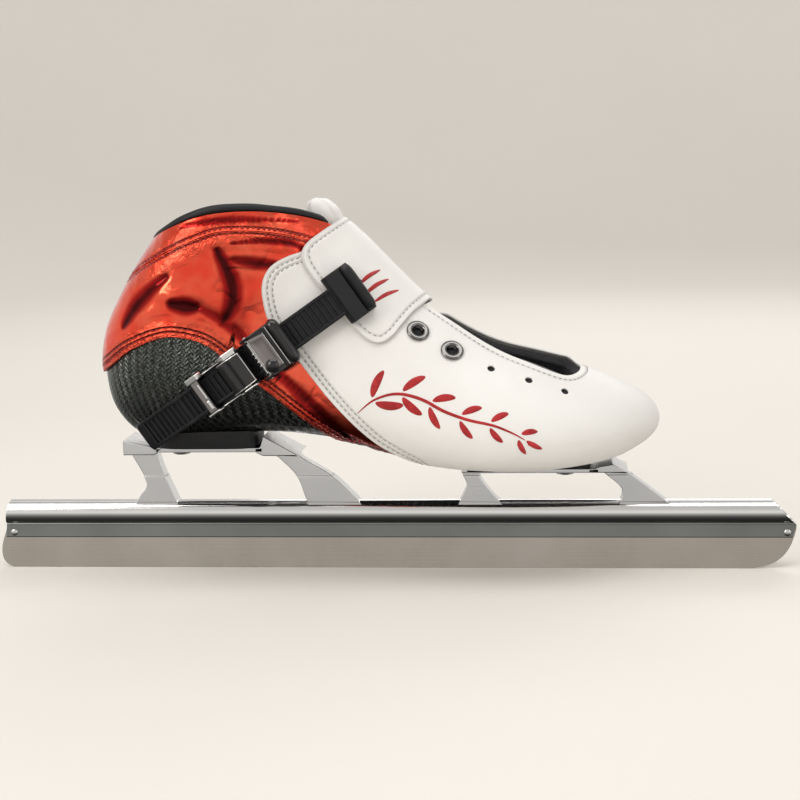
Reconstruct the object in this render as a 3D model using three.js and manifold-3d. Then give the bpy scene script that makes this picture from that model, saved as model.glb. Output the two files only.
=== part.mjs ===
// Speed skate for the right foot: a low racing boot with a carbon heel cup, an ankle strap and a ratchet
// buckle, bolted through two milled stands to a tube that holds a long flat runner.
// Millimetres.  +X points to the toe, +Y to the inner side of the foot, +Z up.  The origin is the middle of
// the runner's flat lower edge.

import * as THREE from 'three';
import { mergeVertices } from 'three/addons/utils/BufferGeometryUtils.js';
import Module from 'manifold-3d';

const wasm = await Module();
wasm.setup();

// ---------------------------------------------------------------- driving dimensions

const GAP = 0.3; // air between touching pieces

const RUNNER = { thickness: 1.2, top: 22.6, flatRear: -195.7, flatFront: 178.3, rear: -202.8, front: 203.3 };
const TUBE = { radius: 6.25, bore: 5.25, centreZ: 29.35, jawBottom: 15.9, jawHalfWidth: 1.9 };
const RIVET = { shank: 1, head: 1.8, rearX: -194.9, frontX: 198.7, z: 18.7 };
const BOLT = { heelX: -105.7, toeX: 88.7, radius: 3, clearance: 3.3, headRadius: 4.8, headHeight: 1.6 };
const WASHER = { radius: 6.2, thickness: 0.7 };
const OFFSET_SLOT = { halfLength: 8, plateHalfWidth: 13 };
const STAND = { legHalfWidth: 3.6, footHalfWidth: 4.6, footTop: 48.7, footBottom: 33 };
const HEEL_PLATE = { bottom: 62.4, top: 64.6 };
const TOE_PLATE = { bottom: 51.4, top: 53.4 };

// Depths of the boot's layers under its reference skin, which is the outside of the quarter.
const STRAP_LAYER = { outer: -4.2, inner: -2 };
const VAMP_LAYER = { outer: -1.7, inner: 1.4 };
const QUARTER_LAYER = { outer: 0, inner: 1.4 };
const SHELL_LAYER = { outer: 1.7, inner: 3.3 };
const LINER_LAYER = { outer: 1.7, inner: 6.1 };
const TONGUE_LAYER = { outer: 6.4, inner: 10 };
const COLLAR_LAYER = { outer: 0.4, inner: 6 };

const LOFT_STEPS = 23;
const RING_STEPS = 18;
const LOFT_START = 0.02;

// Sections of the boot, from the toe tip over the instep to above the collar.  Each row holds the section's
// upper end x and z, its lower end x and z, its half width, its centre y, the share of its height at which
// it is widest, and the fullness of its lower and upper halves.
const SECTIONS = [
  [134.3, 76.8, 134.3, 76.8, 0, 5, 0.45, 2.2, 2.2],
  [131.9, 82.6, 132, 71.4, 14, 5, 0.45, 2.2, 2.2],
  [125, 88.7, 124.8, 65.8, 25.5, 5, 0.42, 2.3, 2.1],
  [110.3, 96.4, 110.4, 60, 36.5, 3, 0.38, 2.6, 1.9],
  [95, 102.3, 88, 56.8, 43, 0, 0.34, 2.8, 1.75],
  [76, 110.6, 62, 55.6, 45, -2, 0.32, 2.8, 1.65],
  [55, 118, 33, 56.4, 42.5, -2.5, 0.31, 2.7, 1.6],
  [36, 126.4, 5, 60.8, 39, -2, 0.32, 2.6, 1.6],
  [19, 136, -26, 67.5, 36.5, -1, 0.34, 2.5, 1.65],
  [3, 151.2, -58, 70.4, 35.5, 0, 0.36, 2.5, 1.75],
  [-10, 164.8, -92, 68.6, 35.5, 0, 0.4, 2.5, 1.85],
  [-18, 172.2, -121.5, 68.6, 36, 0, 0.42, 2.5, 1.95],
  [-24, 178, -137.6, 82.5, 36.5, 0, 0.45, 2.5, 2.1],
  [-29.5, 184, -142.9, 104, 37, 0, 0.47, 2.4, 2.3],
  [-35, 189.5, -139.6, 126, 36.5, 0, 0.48, 2.3, 2.4],
  [-41, 195.5, -127.3, 149.6, 35.5, 0, 0.48, 2.3, 2.4],
  [-48, 202, -112.4, 172.4, 34.5, 0, 0.48, 2.3, 2.4],
  [-56, 209, -99, 195, 33.5, 0, 0.48, 2.3, 2.4],
];

// The lateral side's seam lines, as x and z.
const CUP_EDGE = [
  [-160, 92], [-145, 101.5], [-134.6, 108.5], [-121.8, 117.2], [-104.3, 123.4], [-89.6, 121.8], [-80, 116.8],
  [-68.1, 106], [-55.7, 97.1], [-40.9, 84.7], [-25.1, 71.8], [-17.9, 66.9], [3.5, 61], [14, 50],
];
const VAMP_EDGE = [
  [-16, 172.5], [-26, 167.5], [-35.1, 163.8], [-43.8, 161.1], [-51.2, 156.9], [-55.2, 150.3], [-55.5, 141.2],
  [-52.1, 129.2], [-42.8, 117], [-24.1, 92.6], [-5.2, 73], [9.1, 63.1], [17, 58], [22, 46],
];
const COLLAR_EDGE = [
  [-150, 161], [-126, 168.2], [-112.4, 171.6], [-103.3, 174.6], [-90, 178.8], [-77.8, 181.4], [-60.8, 182.6],
  [-41.6, 181.6], [-27.3, 178.8], [-18.8, 175.2], [-4, 166],
];
const COLLAR_TOP = [
  [-150, 165], [-126, 171.8], [-112.4, 175.2], [-103.3, 178.2], [-90, 182.4], [-77.8, 185.2], [-60.8, 186.6],
  [-41.6, 185.6], [-27.3, 182.2], [-18.8, 178.4], [-4, 169.4],
];
// The collar's lines are those of the lateral side, where y is levelY, and fall towards the inner side.
const COLLAR_FALL = { perWidth: 0.15, levelY: -30 };
// Plan of the lace throat, as x and the y of its lateral and inner edges.
const THROAT = [
  [-48, -7.5, 14], [-18, -6.5, 14], [4, -6.5, 12], [20, -6, 11], [35, -9.9, 13], [52, -16, 16], [66, -20, 17.5],
  [80, -21.8, 17.5], [90, -20, 15], [95.5, -12, 8], [97, -2, -2],
];

// Lace holes: where each lies along the sections and round the side.
const EYELET = { radius: 5.6, flange: 1.1, barrel: 3.7, hole: 2.8, depth: 5, seat: 0.4 };
const LACE_HOLE_RADIUS = 2.2;

// Buckle: its frame lies on the boot's lateral side, with x along the ladder, y across it and z outwards.
const BUCKLE = { x: -63.6, y: -38.4, z: 109.6, tilt: 34.5 };
const ARC = 168.4; // radius of the buckle floor's underside
const LADDER = { inner: ARC + 1.6, web: ARC + 3, teeth: ARC + 4.3, halfWidth: 7.5, rear: -66.5, front: 62, pitch: 2.9 };
const BASE = { rear: -27.5, front: 24, floor: 1.2, halfWidth: 9.7, cheek: 1.3 };
const RELEASE_PIVOT = [-2.4, 9.4];
const LEVER_PIVOT = [8.2, 9];
const PAWL_PIVOT = [14.2, 9.4];
const PIN_RADIUS = 1.1;
const PIN_CLEARANCE = 1.25;
const ANCHOR = { halfLength: 7.2, halfWidth: 13, bottom: ARC - 0.9, top: ARC + 6.6, place: 60 };

// ---------------------------------------------------------------- tools

const skate = new THREE.Group();
const buckle = new THREE.Group();

const LOOKS = {
  steel: { color: 0xb9b4ab, roughness: 0.3, metalness: 1 },
  aluminium: { color: 0xd5d6d8, roughness: 0.15, metalness: 1 },
  darkSteel: { color: 0x3a3a3d, roughness: 0.35, metalness: 1 },
  carbon: { color: 0x191b1b, roughness: 0.25, metalness: 0.1 },
  redLeather: { color: 0xc01410, roughness: 0.18, metalness: 0.7 },
  whiteLeather: { color: 0xf1efec, roughness: 0.5, metalness: 0 },
  blackPlastic: { color: 0x151516, roughness: 0.4, metalness: 0 },
  blackFabric: { color: 0x101011, roughness: 0.9, metalness: 0 },
};

const radians = (degrees) => degrees * Math.PI / 180;
const vectors = (points) => points.map(([x, y]) => new THREE.Vector2(x, y));

function solid(geometry) {
  const bare = geometry.index ? geometry.toNonIndexed() : geometry.clone();
  bare.deleteAttribute('normal');
  bare.deleteAttribute('uv');
  const merged = mergeVertices(bare, 1e-4);
  const vertProperties = Float32Array.from(merged.attributes.position.array);
  const triVerts = Uint32Array.from(merged.index.array);
  return new wasm.Manifold(new wasm.Mesh({ numProp: 3, vertProperties, triVerts }));
}

function geometryOf(body) {
  const { vertProperties, triVerts } = body.getMesh();
  const geometry = new THREE.BufferGeometry();
  geometry.setAttribute('position', new THREE.BufferAttribute(Float32Array.from(vertProperties), 3));
  geometry.setIndex(new THREE.BufferAttribute(Uint32Array.from(triVerts), 1));
  geometry.computeVertexNormals();
  return geometry;
}

function addPart(name, shape, look, parent = skate) {
  const geometry = shape.isBufferGeometry ? shape : geometryOf(shape);
  const mesh = new THREE.Mesh(geometry, new THREE.MeshStandardMaterial(LOOKS[look]));
  mesh.name = name;
  parent.add(mesh);
  return mesh;
}

// A shape drawn in x and z, pushed across the skate from yLow to yHigh.
function sidePlate(shape, yLow, yHigh, curveSegments = 6) {
  const geometry = new THREE.ExtrudeGeometry(shape, { depth: yHigh - yLow, bevelEnabled: false, curveSegments });
  geometry.rotateX(Math.PI / 2);
  geometry.translate(0, yHigh, 0);
  return geometry;
}

// A shape drawn in x and y, pushed up from zLow to zHigh.
function planPlate(shape, zLow, zHigh, curveSegments = 6) {
  const geometry = new THREE.ExtrudeGeometry(shape, { depth: zHigh - zLow, bevelEnabled: false, curveSegments });
  geometry.translate(0, 0, zLow);
  return geometry;
}

function box(x0, x1, y0, y1, z0, z1) {
  const geometry = new THREE.BoxGeometry(x1 - x0, y1 - y0, z1 - z0);
  geometry.translate((x0 + x1) / 2, (y0 + y1) / 2, (z0 + z1) / 2);
  return geometry;
}

// An upright round bar at x, y from zLow to zHigh.
function bar(radius, x, y, zLow, zHigh, sides = 16) {
  const geometry = new THREE.CylinderGeometry(radius, radius, zHigh - zLow, sides);
  geometry.rotateX(Math.PI / 2);
  geometry.translate(x, y, (zLow + zHigh) / 2);
  return geometry;
}

// A round bar across the skate, or across the buckle in its own frame.
function crossBar(radius, x, z, yLow, yHigh, sides = 16) {
  const geometry = new THREE.CylinderGeometry(radius, radius, yHigh - yLow, sides);
  geometry.translate(x, (yLow + yHigh) / 2, z);
  return geometry;
}

// A turned piece on an upright axis through x, y.  The profile is radius and height.
function turned(profile, x, y, sides = 16) {
  const geometry = new THREE.LatheGeometry(vectors(profile), sides);
  geometry.rotateX(Math.PI / 2);
  geometry.translate(x, y, 0);
  return geometry;
}

function smoothShape(points, steps, corners) {
  const curve = new THREE.SplineCurve(vectors(points)).getPoints(steps);
  return new THREE.Shape([...curve, ...vectors(corners)]);
}

const shifted = (points, dx, dy) => points.map(([x, y]) => [x + dx, y + dy]);

// ---------------------------------------------------------------- the boot's skin

function sectionAt(s) {
  const place = (SECTIONS.length - 1) * s;
  const index = Math.min(Math.floor(place), SECTIONS.length - 2);
  const w = place - index;
  const before = SECTIONS[Math.max(index - 1, 0)];
  const after = SECTIONS[Math.min(index + 2, SECTIONS.length - 1)];
  return SECTIONS[index].map((p1, k) => {
    const p2 = SECTIONS[index + 1][k];
    const v0 = (p2 - before[k]) / 2;
    const v1 = (after[k] - p1) / 2;
    return (2 * p1 - 2 * p2 + v0 + v1) * w ** 3 + (3 * p2 - 3 * p1 - 2 * v0 - v1) * w ** 2 + v0 * w + p1;
  });
}

// Outward direction of the upper contour (column 0) or the lower contour (column 2) at s.
function contourNormal(s, column) {
  const step = 0.001;
  const from = sectionAt(Math.max(s - step, 0));
  const to = sectionAt(Math.min(s + step, 1));
  const dx = to[column] - from[column];
  const dz = to[column + 1] - from[column + 1];
  const length = Math.hypot(dx, dz);
  return column === 0 ? [dz / length, -dx / length] : [-dz / length, dx / length];
}

// A point of the skin: s runs from the toe to the collar, angle from the sole (0) over the inner side to the
// instep (pi) and back over the lateral side, and depth is measured inwards.
function skinPoint(s, angle, depth) {
  const [topX, topZ, lowX, lowZ, halfWidth, centreY, widest, lower, upper] = sectionAt(s);
  const topNormal = contourNormal(s, 0);
  const lowNormal = contourNormal(s, 2);
  const top = [topX - depth * topNormal[0], topZ - depth * topNormal[1]];
  const low = [lowX - depth * lowNormal[0], lowZ - depth * lowNormal[1]];
  const width = halfWidth * (1 - depth / Math.max(halfWidth, 22));
  const rise = Math.abs(Math.cos(angle));
  const fullness = Math.cos(angle) > 0 ? lower : upper;
  const reach = Math.abs(Math.sin(angle)) ** (2 / fullness);
  const share = Math.cos(angle) > 0
    ? widest * (1 - rise ** (2 / fullness))
    : widest + (1 - widest) * rise ** (2 / fullness);
  return new THREE.Vector3(
    low[0] + (top[0] - low[0]) * share,
    centreY + Math.sign(Math.sin(angle)) * width * reach,
    low[1] + (top[1] - low[1]) * share,
  );
}

function skinNormal(s, angle, depth) {
  const step = 0.002;
  const along = skinPoint(s + step, angle, depth).sub(skinPoint(s - step, angle, depth));
  const around = skinPoint(s, angle + step, depth).sub(skinPoint(s, angle - step, depth));
  return along.cross(around).normalize();
}

// The whole boot as one closed form, at a depth under its skin.
function bootForm(depth) {
  const points = [];
  const faces = [];
  for (let i = 0; i <= LOFT_STEPS; i += 1) {
    const s = LOFT_START + (1 - LOFT_START) * i / LOFT_STEPS;
    for (let j = 0; j < RING_STEPS; j += 1) points.push(skinPoint(s, 2 * Math.PI * j / RING_STEPS, depth));
  }
  const [tipX, tipZ, , , , tipY] = SECTIONS[0];
  const tip = points.push(new THREE.Vector3(tipX - depth, tipY, tipZ)) - 1;
  const lastRing = points.slice(LOFT_STEPS * RING_STEPS, (LOFT_STEPS + 1) * RING_STEPS);
  const middle = lastRing.reduce((sum, p) => sum.add(p), new THREE.Vector3()).divideScalar(RING_STEPS);
  const end = points.push(middle) - 1;
  for (let j = 0; j < RING_STEPS; j += 1) {
    const k = (j + 1) % RING_STEPS;
    faces.push(tip, j, k);
    for (let i = 0; i < LOFT_STEPS; i += 1) {
      const a = i * RING_STEPS;
      const b = a + RING_STEPS;
      faces.push(a + j, b + j, b + k, a + j, b + k, a + k);
    }
    faces.push(end, LOFT_STEPS * RING_STEPS + k, LOFT_STEPS * RING_STEPS + j);
  }
  const geometry = new THREE.BufferGeometry().setFromPoints(points);
  geometry.setIndex(faces);
  return solid(geometry);
}

const layer = ({ outer, inner }) => bootForm(outer).subtract(bootForm(inner));

// ---------------------------------------------------------------- regions of the boot

const FAR = 80; // half of the width that the cutting blocks span

// Everything above a line round the collar, which is lower on the inner side.
function aboveLine(line, frontZ) {
  const geometry = sidePlate(smoothShape(line, 24, [[60, frontZ], [60, 230], [-150, 230]]), -FAR, FAR);
  const { perWidth, levelY } = COLLAR_FALL;
  geometry.applyMatrix4(new THREE.Matrix4().set(1, 0, 0, 0, 0, 1, 0, 0, 0, -perWidth, 1, perWidth * levelY, 0, 0, 0, 1));
  return solid(geometry);
}

const aboveCollar = aboveLine(COLLAR_EDGE, 166);
const aboveBinding = aboveLine(COLLAR_TOP, 169.4);
const lineAboveCollar = aboveLine(shifted(COLLAR_EDGE, 0, GAP), 166);
const vampRegion = solid(sidePlate(smoothShape(VAMP_EDGE, 30, [[150, 46], [150, 172.5]]), -FAR, FAR));

function quarterRegion(grow) {
  const front = [
    [25, 50], [6, 73], [-13, 94], [-32, 118], [-42, 132], [-44, 142], [-38, 149.5], [-24, 154], [-4, 158], [10, 162],
  ];
  const edge = new THREE.SplineCurve(vectors(shifted(CUP_EDGE, 0, -grow))).getPoints(28);
  const rise = new THREE.SplineCurve(vectors(shifted(front, grow, 0))).getPoints(18);
  return solid(sidePlate(new THREE.Shape([...edge, ...rise, ...vectors([[20, 230], [-160, 230]])]), -FAR, FAR));
}

function shellRegion(grow) {
  const lip = 8;
  const rear = CUP_EDGE.slice(0, 10).map(([x, z]) => [x, z + lip]);
  const front = [[-22, 79], [0, 70], [30, 66], [70, 64], [100, 67], [122, 75], [145, 84]];
  return solid(sidePlate(smoothShape(shifted([...rear, ...front], 0, grow), 30, [[145, 40], [-160, 40]]), -FAR, FAR));
}

function throatCut(clearance) {
  const lateral = THROAT.map(([x, y]) => [x, y - clearance]);
  const inner = THROAT.slice(0, -1).reverse().map(([x, , y]) => [x, y + clearance]);
  return solid(planPlate(smoothShape([...lateral, ...inner], 32, []), 90, 230));
}

// The middle of the sole, where the upper's leather is trimmed and the mounting blocks stand.
function soleWindow(share) {
  const side = (sign) => {
    const steps = 10;
    return Array.from({ length: steps + 1 }, (_, i) => {
      const [, , lowX, , halfWidth, centreY] = sectionAt(0.13 + 0.5 * i / steps);
      return new THREE.Vector2(lowX, centreY + sign * share * halfWidth);
    });
  };
  return solid(planPlate(new THREE.Shape([...side(-1), ...side(1).reverse()]), 40, 74));
}

function holeAt({ s, angle }, radius, length) {
  const geometry = new THREE.CylinderGeometry(radius, radius, length, 10);
  geometry.applyQuaternion(turnTo(skinNormal(s, angle, VAMP_LAYER.outer)));
  geometry.translate(...skinPoint(s, angle, VAMP_LAYER.outer).toArray());
  return solid(geometry);
}

function turnTo(direction) {
  return new THREE.Quaternion().setFromUnitVectors(new THREE.Vector3(0, 1, 0), direction.clone().normalize());
}

// ---------------------------------------------------------------- lace holes

const LACE_ROWS = [0.455, 0.402, 0.347, 0.3, 0.252];
const LACE_ANGLE = { first: 0.203 * Math.PI, step: 0.0105 * Math.PI };
const laceHoles = LACE_ROWS.flatMap((s, row) => [-1, 1].map((side) => ({
  row,
  side,
  s,
  angle: Math.PI + side * (LACE_ANGLE.first + row * LACE_ANGLE.step),
})));
const eyelets = laceHoles.filter(({ row }) => row < 2);

const LACE_HOLE_LENGTH = 24;
function pierce(body) {
  return laceHoles.reduce((rest, hole) => {
    const radius = hole.row < 2 ? EYELET.barrel + GAP : LACE_HOLE_RADIUS;
    return rest.subtract(holeAt(hole, radius, LACE_HOLE_LENGTH));
  }, body);
}

function eyelet(hole) {
  const { radius, flange, barrel, hole: bore, depth, seat } = EYELET;
  const profile = [
    [bore, -depth], [barrel, -depth], [barrel, 0], [radius, 0], [radius - 0.4, flange * 0.8], [barrel, flange],
    [bore, flange * 0.5], [bore, -depth],
  ];
  const normal = skinNormal(hole.s, hole.angle, VAMP_LAYER.outer);
  const centre = skinPoint(hole.s, hole.angle, VAMP_LAYER.outer).addScaledVector(normal, seat);
  const geometry = new THREE.LatheGeometry(vectors(profile), 12);
  geometry.applyQuaternion(turnTo(normal));
  geometry.translate(...centre.toArray());
  return geometry;
}

// ---------------------------------------------------------------- the boot's pieces

const buckleMatrix = new THREE.Matrix4().makeBasis(
  new THREE.Vector3(Math.cos(radians(BUCKLE.tilt)), 0, Math.sin(radians(BUCKLE.tilt))),
  new THREE.Vector3(-Math.sin(radians(BUCKLE.tilt)), 0, Math.cos(radians(BUCKLE.tilt))),
  new THREE.Vector3(0, -1, 0),
);
buckleMatrix.setPosition(BUCKLE.x, BUCKLE.y, BUCKLE.z);

const SCREW = { u: -15, shank: 1.8, head: 3.3, nut: 4.4, nutLow: -9.2, nutHigh: -7.9, low: -9.8 };
const screwHole = solid(bar(SCREW.shank + GAP, SCREW.u, 0, -16, 6).applyMatrix4(buckleMatrix));
const nutPocket = solid(bar(SCREW.nut + GAP, SCREW.u, 0, -20, SCREW.nutHigh + GAP).applyMatrix4(buckleMatrix));

const throat = throatCut(0);
const shell = layer(SHELL_LAYER).intersect(shellRegion(0)).subtract(screwHole);
const quarter = layer(QUARTER_LAYER)
  .intersect(quarterRegion(0))
  .subtract(aboveCollar)
  .subtract(throatCut(2))
  .subtract(soleWindow(0.6))
  .subtract(screwHole);
const vamp = pierce(
  layer(VAMP_LAYER)
    .intersect(vampRegion)
    .subtract(aboveCollar)
    .subtract(throat)
    .subtract(soleWindow(0.6))
    .subtract(quarterRegion(GAP).intersect(bootForm(VAMP_LAYER.outer + 1.4))),
);
const shellRoom = shellRegion(GAP).subtract(bootForm(SHELL_LAYER.inner + GAP));
const liner = pierce(
  layer(LINER_LAYER).subtract(aboveCollar).subtract(throat).subtract(shellRoom),
).subtract(nutPocket).subtract(screwHole);
const collar = layer(COLLAR_LAYER)
  .intersect(lineAboveCollar)
  .subtract(aboveBinding)
  .subtract(throatCut(3));

addPart('heel_cup_shell', shell, 'carbon');
addPart('quarter', quarter, 'redLeather');
addPart('vamp', vamp, 'whiteLeather');
addPart('liner', liner, 'blackFabric');
addPart('collar_binding', collar, 'blackFabric');

function insoleShape() {
  const steps = 22;
  const floor = (depth) => Array.from({ length: steps + 1 }, (_, i) => {
    const s = 0.07 + 0.6 * i / steps;
    const [, , lowX, lowZ] = sectionAt(s);
    const normal = contourNormal(s, 2);
    return new THREE.Vector2(lowX - depth * normal[0], lowZ - depth * normal[1]);
  });
  return new THREE.Shape([...floor(4), ...floor(9).reverse()]);
}
addPart('insole', bootForm(LINER_LAYER.inner + GAP).intersect(solid(sidePlate(insoleShape(), -FAR, FAR))), 'blackFabric');

// The strap crosses the instep, with a round free end on the lateral side and a sewn end on the inner side.
function strapRegion(grow) {
  const freeEnd = shifted([
    [-18, 179], [-27, 173], [-34.6, 166.9], [-36.2, 160.5], [-31.5, 151.5], [-20, 137.6], [-12, 127.3], [-5.2, 121.4],
    [0.4, 119.8], [5.6, 122.6], [9.8, 127.4], [14.6, 132.8], [19.8, 136.8], [27, 141],
  ], -grow, grow);
  const sewnEnd = vectors(shifted([
    [-18, 179], [0, 200], [60, 150], [26, 139.5], [19, 134.5], [8.5, 124], [-6, 106], [-42, 138],
  ], -grow, grow));
  return solid(sidePlate(smoothShape(freeEnd, 26, [[60, 150], [0, 200]]), -FAR, 0))
    .add(solid(sidePlate(new THREE.Shape(sewnEnd), -0.01, FAR)));
}
addPart('ankle_strap', layer(STRAP_LAYER).intersect(strapRegion(0)), 'whiteLeather');

// The tongue lies under the throat's edges and ends in a padded head that stands out above the strap.
const TONGUE_HEAD = { low: -5.2, high: 12.8 };
const tonguePlan = smoothShape([[94, -13], [78, -24], [44, -20], [0, -17], [-30, -14]], 14, [
  [-30, 11], [0, 14], [44, 17], [78, 21], [94, 10],
]);
const tongueSide = new THREE.Shape(vectors([[-24, 150], [-30, 182], [0, 230], [140, 230], [140, 60], [40, 96], [-10, 142]]));
const tongueHead = smoothShape([
  [-24, 156], [-13, 161], [-16, 170], [-19.8, 176], [-22.8, 182.4], [-31.3, 187.8], [-38.6, 185.4], [-38.2, 178],
  [-31, 164],
], 20, []);
const strapRoom = layer({ outer: STRAP_LAYER.outer - GAP, inner: STRAP_LAYER.inner + GAP }).intersect(strapRegion(GAP));
const tongue = layer(TONGUE_LAYER)
  .intersect(solid(planPlate(tonguePlan, 80, 230)))
  .intersect(solid(sidePlate(tongueSide, -FAR, FAR)))
  .add(solid(sidePlate(tongueHead, TONGUE_HEAD.low, TONGUE_HEAD.high)).subtract(strapRoom));
addPart('tongue', tongue, 'whiteLeather');

laceHoles.filter(({ row }) => row < 2).forEach((hole) => {
  const side = hole.side < 0 ? 'inner' : 'outer';
  addPart(`eyelet_${side}_${hole.row + 1}`, eyelet(hole), 'darkSteel');
});

// ---------------------------------------------------------------- mounting blocks, inserts and bolts

const HEEL_BLOCK = { rear: -115.2, front: -64.6, halfWidth: 19, top: 74 };
const TOE_BLOCK = { rear: 54.4, front: 101.5, halfWidth: 17, top: 62 };
const INSERT = { radius: 5, height: 3.6 };

function roundedPlan(x0, x1, half, radius) {
  const shape = new THREE.Shape();
  shape.moveTo(x0 + radius, -half);
  shape.lineTo(x1 - radius, -half);
  shape.quadraticCurveTo(x1, -half, x1, -half + radius);
  shape.lineTo(x1, half - radius);
  shape.quadraticCurveTo(x1, half, x1 - radius, half);
  shape.lineTo(x0 + radius, half);
  shape.quadraticCurveTo(x0, half, x0, half - radius);
  shape.lineTo(x0, -half + radius);
  shape.quadraticCurveTo(x0, -half, x0 + radius, -half);
  return shape;
}

function mountBlock(block, plate, boltX) {
  const bottom = plate.top + GAP;
  return solid(planPlate(roundedPlan(block.rear, block.front, block.halfWidth, 7), bottom, block.top))
    .subtract(bootForm(SHELL_LAYER.outer - GAP))
    .subtract(solid(bar(INSERT.radius + GAP, boltX, 0, bottom - 1, bottom + INSERT.height + GAP)))
    .subtract(solid(bar(BOLT.clearance, boltX, 0, bottom - 1, bottom + 20)));
}

function boltSet(end, plate, boltX) {
  const washerTop = plate.bottom - GAP;
  const washerLow = washerTop - WASHER.thickness;
  const headTop = washerLow - GAP;
  const headLow = headTop - BOLT.headHeight;
  const tip = plate.top + GAP + INSERT.height;
  const head = BOLT.headRadius;
  const socket = 2;
  addPart(`${end}_washer`, turned([
    [BOLT.clearance, washerLow], [WASHER.radius, washerLow], [WASHER.radius, washerTop], [BOLT.clearance, washerTop],
    [BOLT.clearance, washerLow],
  ], boltX, 0), 'steel');
  addPart(`${end}_bolt`, turned([
    [0, headLow + 1.8], [socket, headLow + 1.8], [socket, headLow], [head - 0.8, headLow], [head, headLow + 0.9],
    [head, headTop], [BOLT.radius, headTop], [BOLT.radius, tip], [0, tip],
  ], boltX, 0), 'steel');
  addPart(`${end}_insert`, turned([
    [BOLT.clearance, plate.top + 2 * GAP], [INSERT.radius, plate.top + 2 * GAP],
    [INSERT.radius, plate.top + GAP + INSERT.height], [BOLT.clearance, plate.top + GAP + INSERT.height],
    [BOLT.clearance, plate.top + 2 * GAP],
  ], boltX, 0), 'steel');
}

addPart('heel_mount_block', mountBlock(HEEL_BLOCK, HEEL_PLATE, BOLT.heelX), 'blackPlastic');
addPart('toe_mount_block', mountBlock(TOE_BLOCK, TOE_PLATE, BOLT.toeX), 'blackPlastic');
boltSet('heel', HEEL_PLATE, BOLT.heelX);
boltSet('toe', TOE_PLATE, BOLT.toeX);

// ---------------------------------------------------------------- runner, tube and stands

function runnerShape() {
  const { flatRear, flatFront, rear, front, top } = RUNNER;
  const shape = new THREE.Shape();
  shape.moveTo(flatRear, 0);
  shape.lineTo(flatFront, 0);
  shape.bezierCurveTo(flatFront + 14, 0.2, front - 3, 5, front, top - 2);
  shape.lineTo(front - 0.4, top);
  shape.lineTo(rear + 4.2, top);
  shape.lineTo(rear + 1.4, 14.1);
  shape.bezierCurveTo(rear - 0.4, 8.2, rear - 0.3, 1.2, flatRear, 0);
  return shape;
}

function rivetHole(x) {
  return solid(crossBar(RIVET.shank + GAP, x, RIVET.z, -5, 5));
}

const runner = solid(sidePlate(runnerShape(), -RUNNER.thickness / 2, RUNNER.thickness / 2, 8))
  .subtract(rivetHole(RIVET.rearX))
  .subtract(rivetHole(RIVET.frontX));
addPart('runner', runner, 'steel');

// The tube's section is a ring that stands on two jaws, with the runner's slot between them.
function tubeShape() {
  const { radius, bore, centreZ, jawBottom, jawHalfWidth } = TUBE;
  const slot = RUNNER.thickness / 2 + GAP;
  const start = Math.asin(jawHalfWidth / radius);
  const shape = new THREE.Shape();
  shape.moveTo(slot, jawBottom);
  shape.lineTo(jawHalfWidth, jawBottom + 0.5);
  shape.absarc(0, centreZ, radius, start - Math.PI / 2, Math.PI * 1.5 - start, false);
  shape.lineTo(-jawHalfWidth, jawBottom + 0.5);
  shape.lineTo(-slot, jawBottom);
  shape.lineTo(-slot, RUNNER.top + GAP);
  shape.lineTo(slot, RUNNER.top + GAP);
  const hollow = new THREE.Path();
  hollow.absarc(0, centreZ, bore, 0, 2 * Math.PI, true);
  shape.holes.push(hollow);
  return shape;
}

const alongX = new THREE.Matrix4().makeBasis(
  new THREE.Vector3(0, 1, 0),
  new THREE.Vector3(0, 0, 1),
  new THREE.Vector3(1, 0, 0),
);
const tubeLength = { rear: -199.5, front: 203.2 };
const tubeBlank = new THREE.ExtrudeGeometry(tubeShape(), {
  depth: tubeLength.front - tubeLength.rear,
  bevelEnabled: false,
  curveSegments: 14,
});
tubeBlank.applyMatrix4(alongX);
tubeBlank.translate(tubeLength.rear, 0, 0);
const frontCut = new THREE.Shape(vectors([[190.2, 36], [203.4, 22.5], [210, 22.5], [210, 40], [190.2, 40]]));
const rearCut = new THREE.Shape(vectors([[-195.4, 40], [-198.8, 22], [-200.5, 14], [-206, 14], [-206, 40]]));
const tube = solid(tubeBlank)
  .subtract(solid(sidePlate(frontCut, -10, 10)))
  .subtract(solid(sidePlate(rearCut, -10, 10)))
  .subtract(rivetHole(RIVET.rearX))
  .subtract(rivetHole(RIVET.frontX));
addPart('blade_tube', tube, 'aluminium');

function rivet(x) {
  const seat = TUBE.jawHalfWidth + GAP;
  const crown = seat + 0.6;
  const geometry = new THREE.LatheGeometry(vectors([
    [0, -crown], [RIVET.head - 0.5, -crown], [RIVET.head, -seat], [RIVET.shank, -seat], [RIVET.shank, seat],
    [RIVET.head, seat], [RIVET.head - 0.5, crown], [0, crown],
  ]), 14);
  geometry.translate(x, 0, RIVET.z);
  return geometry;
}
addPart('rear_rivet', rivet(RIVET.rearX), 'steel');
addPart('front_rivet', rivet(RIVET.frontX), 'steel');

// A leg's outline from its foot up: its rear edge, then down its front edge.
function legShape(rearEdge, frontEdge) {
  const up = new THREE.SplineCurve(vectors(rearEdge)).getPoints(8);
  const down = new THREE.SplineCurve(vectors(frontEdge)).getPoints(8);
  return new THREE.Shape([...up, ...down]);
}

function leg(rearEdge, frontEdge) {
  const { legHalfWidth, footHalfWidth, footTop, footBottom } = STAND;
  const shape = legShape(rearEdge, frontEdge);
  const slender = solid(sidePlate(shape, -legHalfWidth, legHalfWidth));
  const foot = solid(sidePlate(shape, -footHalfWidth, footHalfWidth))
    .intersect(solid(box(-300, 300, -20, 20, footBottom, footTop)));
  return slender.intersect(solid(box(-300, 300, -20, 20, footTop - 1, 80))).add(foot);
}

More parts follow.
